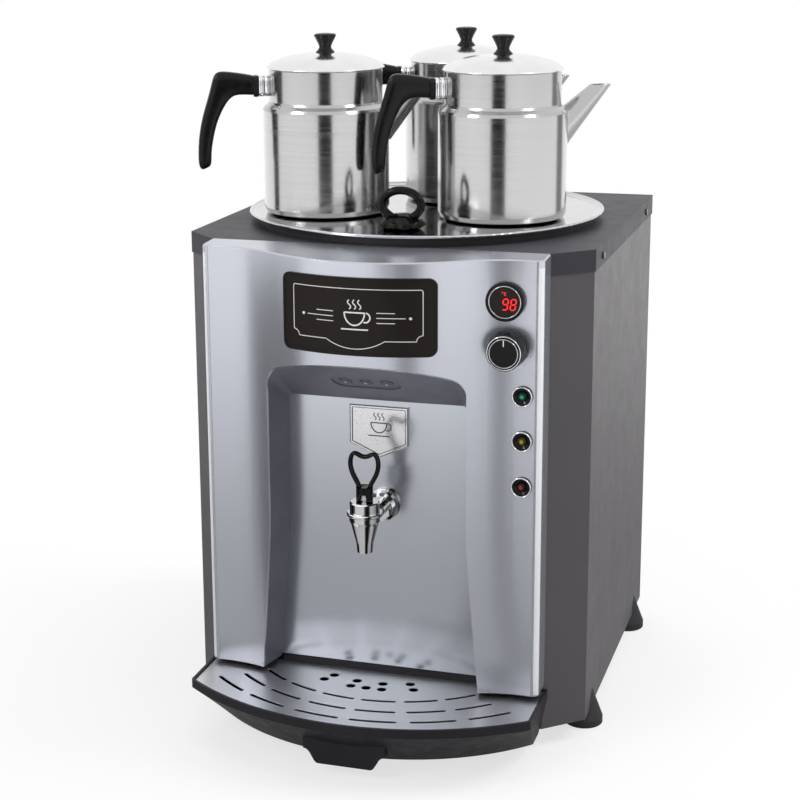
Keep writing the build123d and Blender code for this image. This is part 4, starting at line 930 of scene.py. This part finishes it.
def shown_to_gloss(name, points, faces, level):
    """Sheet of even light or shade that only reflections show."""
    cloth = bpy.data.materials.new(f"{name}_cloth")
    cloth.use_nodes = True
    cloth.node_tree.nodes.clear()
    output = cloth.node_tree.nodes.new("ShaderNodeOutputMaterial")
    glow = cloth.node_tree.nodes.new("ShaderNodeEmission")
    glow.inputs["Strength"].default_value = level
    cloth.node_tree.links.new(glow.outputs["Emission"], output.inputs["Surface"])
    made = staged(name, points, faces, cloth)
    for ray in ("camera", "diffuse", "transmission", "volume_scatter", "shadow"):
        setattr(made, f"visible_{ray}", False)
    return made


def flag(name, azimuth, half, far, bottom, top, level, near=None):
    """Upright sheet at an azimuth, with a strip of floor before it where near is given."""
    turn = Matrix.Rotation(radians(azimuth), 3, "Z")
    points = [(half, -far, bottom), (-half, -far, bottom), (-half, -far, top), (half, -far, top)]
    faces = [(0, 1, 2, 3)]
    if near:
        points += [(-half * near / far, -near, bottom), (half * near / far, -near, bottom)]
        faces.append((1, 0, 5, 4))
    shown_to_gloss(name, [turn @ Vector(point) for point in points], faces, level)


def softbox(name, place, wide, high, level):
    """Bright sheet that faces the object."""
    made = shown_to_gloss(name, oblong(wide, high), [(0, 1, 2, 3)], level)
    made.location = place
    aim = Vector((0, 0, SOFTBOX_AIM)) - Vector(place)
    made.rotation_euler = aim.to_track_quat("Z", "Y").to_euler()


def lamp(name, size, place, target, power):
    """Soft area light, kept out of reflections."""
    data = bpy.data.lights.new(name, "AREA")
    data.shape = "RECTANGLE"
    data.size, data.size_y = size
    data.energy = power
    light = bpy.data.objects.new(name, data)
    bpy.context.scene.collection.objects.link(light)
    light.location = place
    aim = Vector((0, 0, target)) - Vector(place)
    light.rotation_euler = aim.to_track_quat("-Z", "Y").to_euler()
    light.visible_glossy = False


staged("floor", oblong(FLOOR_SIZE, FLOOR_SIZE), [(0, 1, 2, 3)], floor_material())
world = bpy.data.worlds.new("studio")
bpy.context.scene.world = world
world.use_nodes = True
background = world.node_tree.nodes["Background"]
lit = maths(world.node_tree, "ADD", seen_factor(world.node_tree, WORLD_SEEN), WORLD_LIT)
background.inputs["Color"].default_value = (1, 1, 1, 1)
world.node_tree.links.new(lit, background.inputs["Strength"])

flag("flag_pots", azimuth=11, half=0.21, far=0.95, bottom=0.37, top=0.8, level=0.02)
flag("flag_column", azimuth=15, half=0.095, far=0.95, bottom=0.003, top=0.36, level=0.25, near=0.36)
flag("flag_cove", azimuth=-66, half=0.4, far=1.4, bottom=0.003, top=0.27, level=0.06, near=0.4)
flag("flag_left", azimuth=-85, half=0.17, far=1.5, bottom=0.15, top=0.8, level=0.03)
flag("flag_rear_right", azimuth=131, half=0.25, far=1.5, bottom=0.15, top=0.8, level=0.3)
softbox("softbox_left", place=(-1.2, -1.3, 1.8), wide=0.5, high=0.35, level=14)
softbox("softbox_right", place=(1.4, -0.5, 1.7), wide=0.4, high=0.4, level=9)
lamp("key", size=(1.6, 2.0), place=(-1.7, -2.3, 2.2), target=0.35, power=36)
lamp("side", size=(1.2, 1.2), place=(2.1, 0.7, 2.1), target=0.45, power=43)
lamp("top", size=(2.0, 2.0), place=(0, 0.2, 2.9), target=0.4, power=20)
lamp("rear", size=(1.6, 1.6), place=(-1.2, 2.6, 1.8), target=0.4, power=12)


# ------------------------------------------------------------------ camera
CAMERA_PLACE = (0.5205, -1.8466, 0.8402)
CAMERA_YAW, CAMERA_PITCH, CAMERA_ROLL = radians(18.18), radians(13.46), radians(-0.65)
CAMERA_SHIFT = (0.075, -0.0625)
FOCAL_PIXELS, PICTURE_PIXELS, SENSOR = 1807.5, 800, 36


def camera_turn():
    """Rotation of the camera from its yaw, pitch and roll."""
    level = cos(CAMERA_PITCH)
    heading = Vector((-sin(CAMERA_YAW) * level, cos(CAMERA_YAW) * level, -sin(CAMERA_PITCH)))
    level_right = Vector((cos(CAMERA_YAW), sin(CAMERA_YAW), 0))
    level_up = level_right.cross(heading)
    right = level_right * cos(CAMERA_ROLL) + level_up * sin(CAMERA_ROLL)
    up = level_up * cos(CAMERA_ROLL) - level_right * sin(CAMERA_ROLL)
    return Matrix((right, up, -heading)).transposed().to_4x4()


camera_data = bpy.data.cameras.new("camera")
camera_data.sensor_width = SENSOR
camera_data.lens = SENSOR * FOCAL_PIXELS / PICTURE_PIXELS
camera_data.shift_x, camera_data.shift_y = CAMERA_SHIFT
camera = bpy.data.objects.new("camera", camera_data)
bpy.context.scene.collection.objects.link(camera)
camera.matrix_world = Matrix.Translation(CAMERA_PLACE) @ camera_turn()
bpy.context.scene.camera = camera
bpy.context.scene.view_settings.view_transform = "Standard"
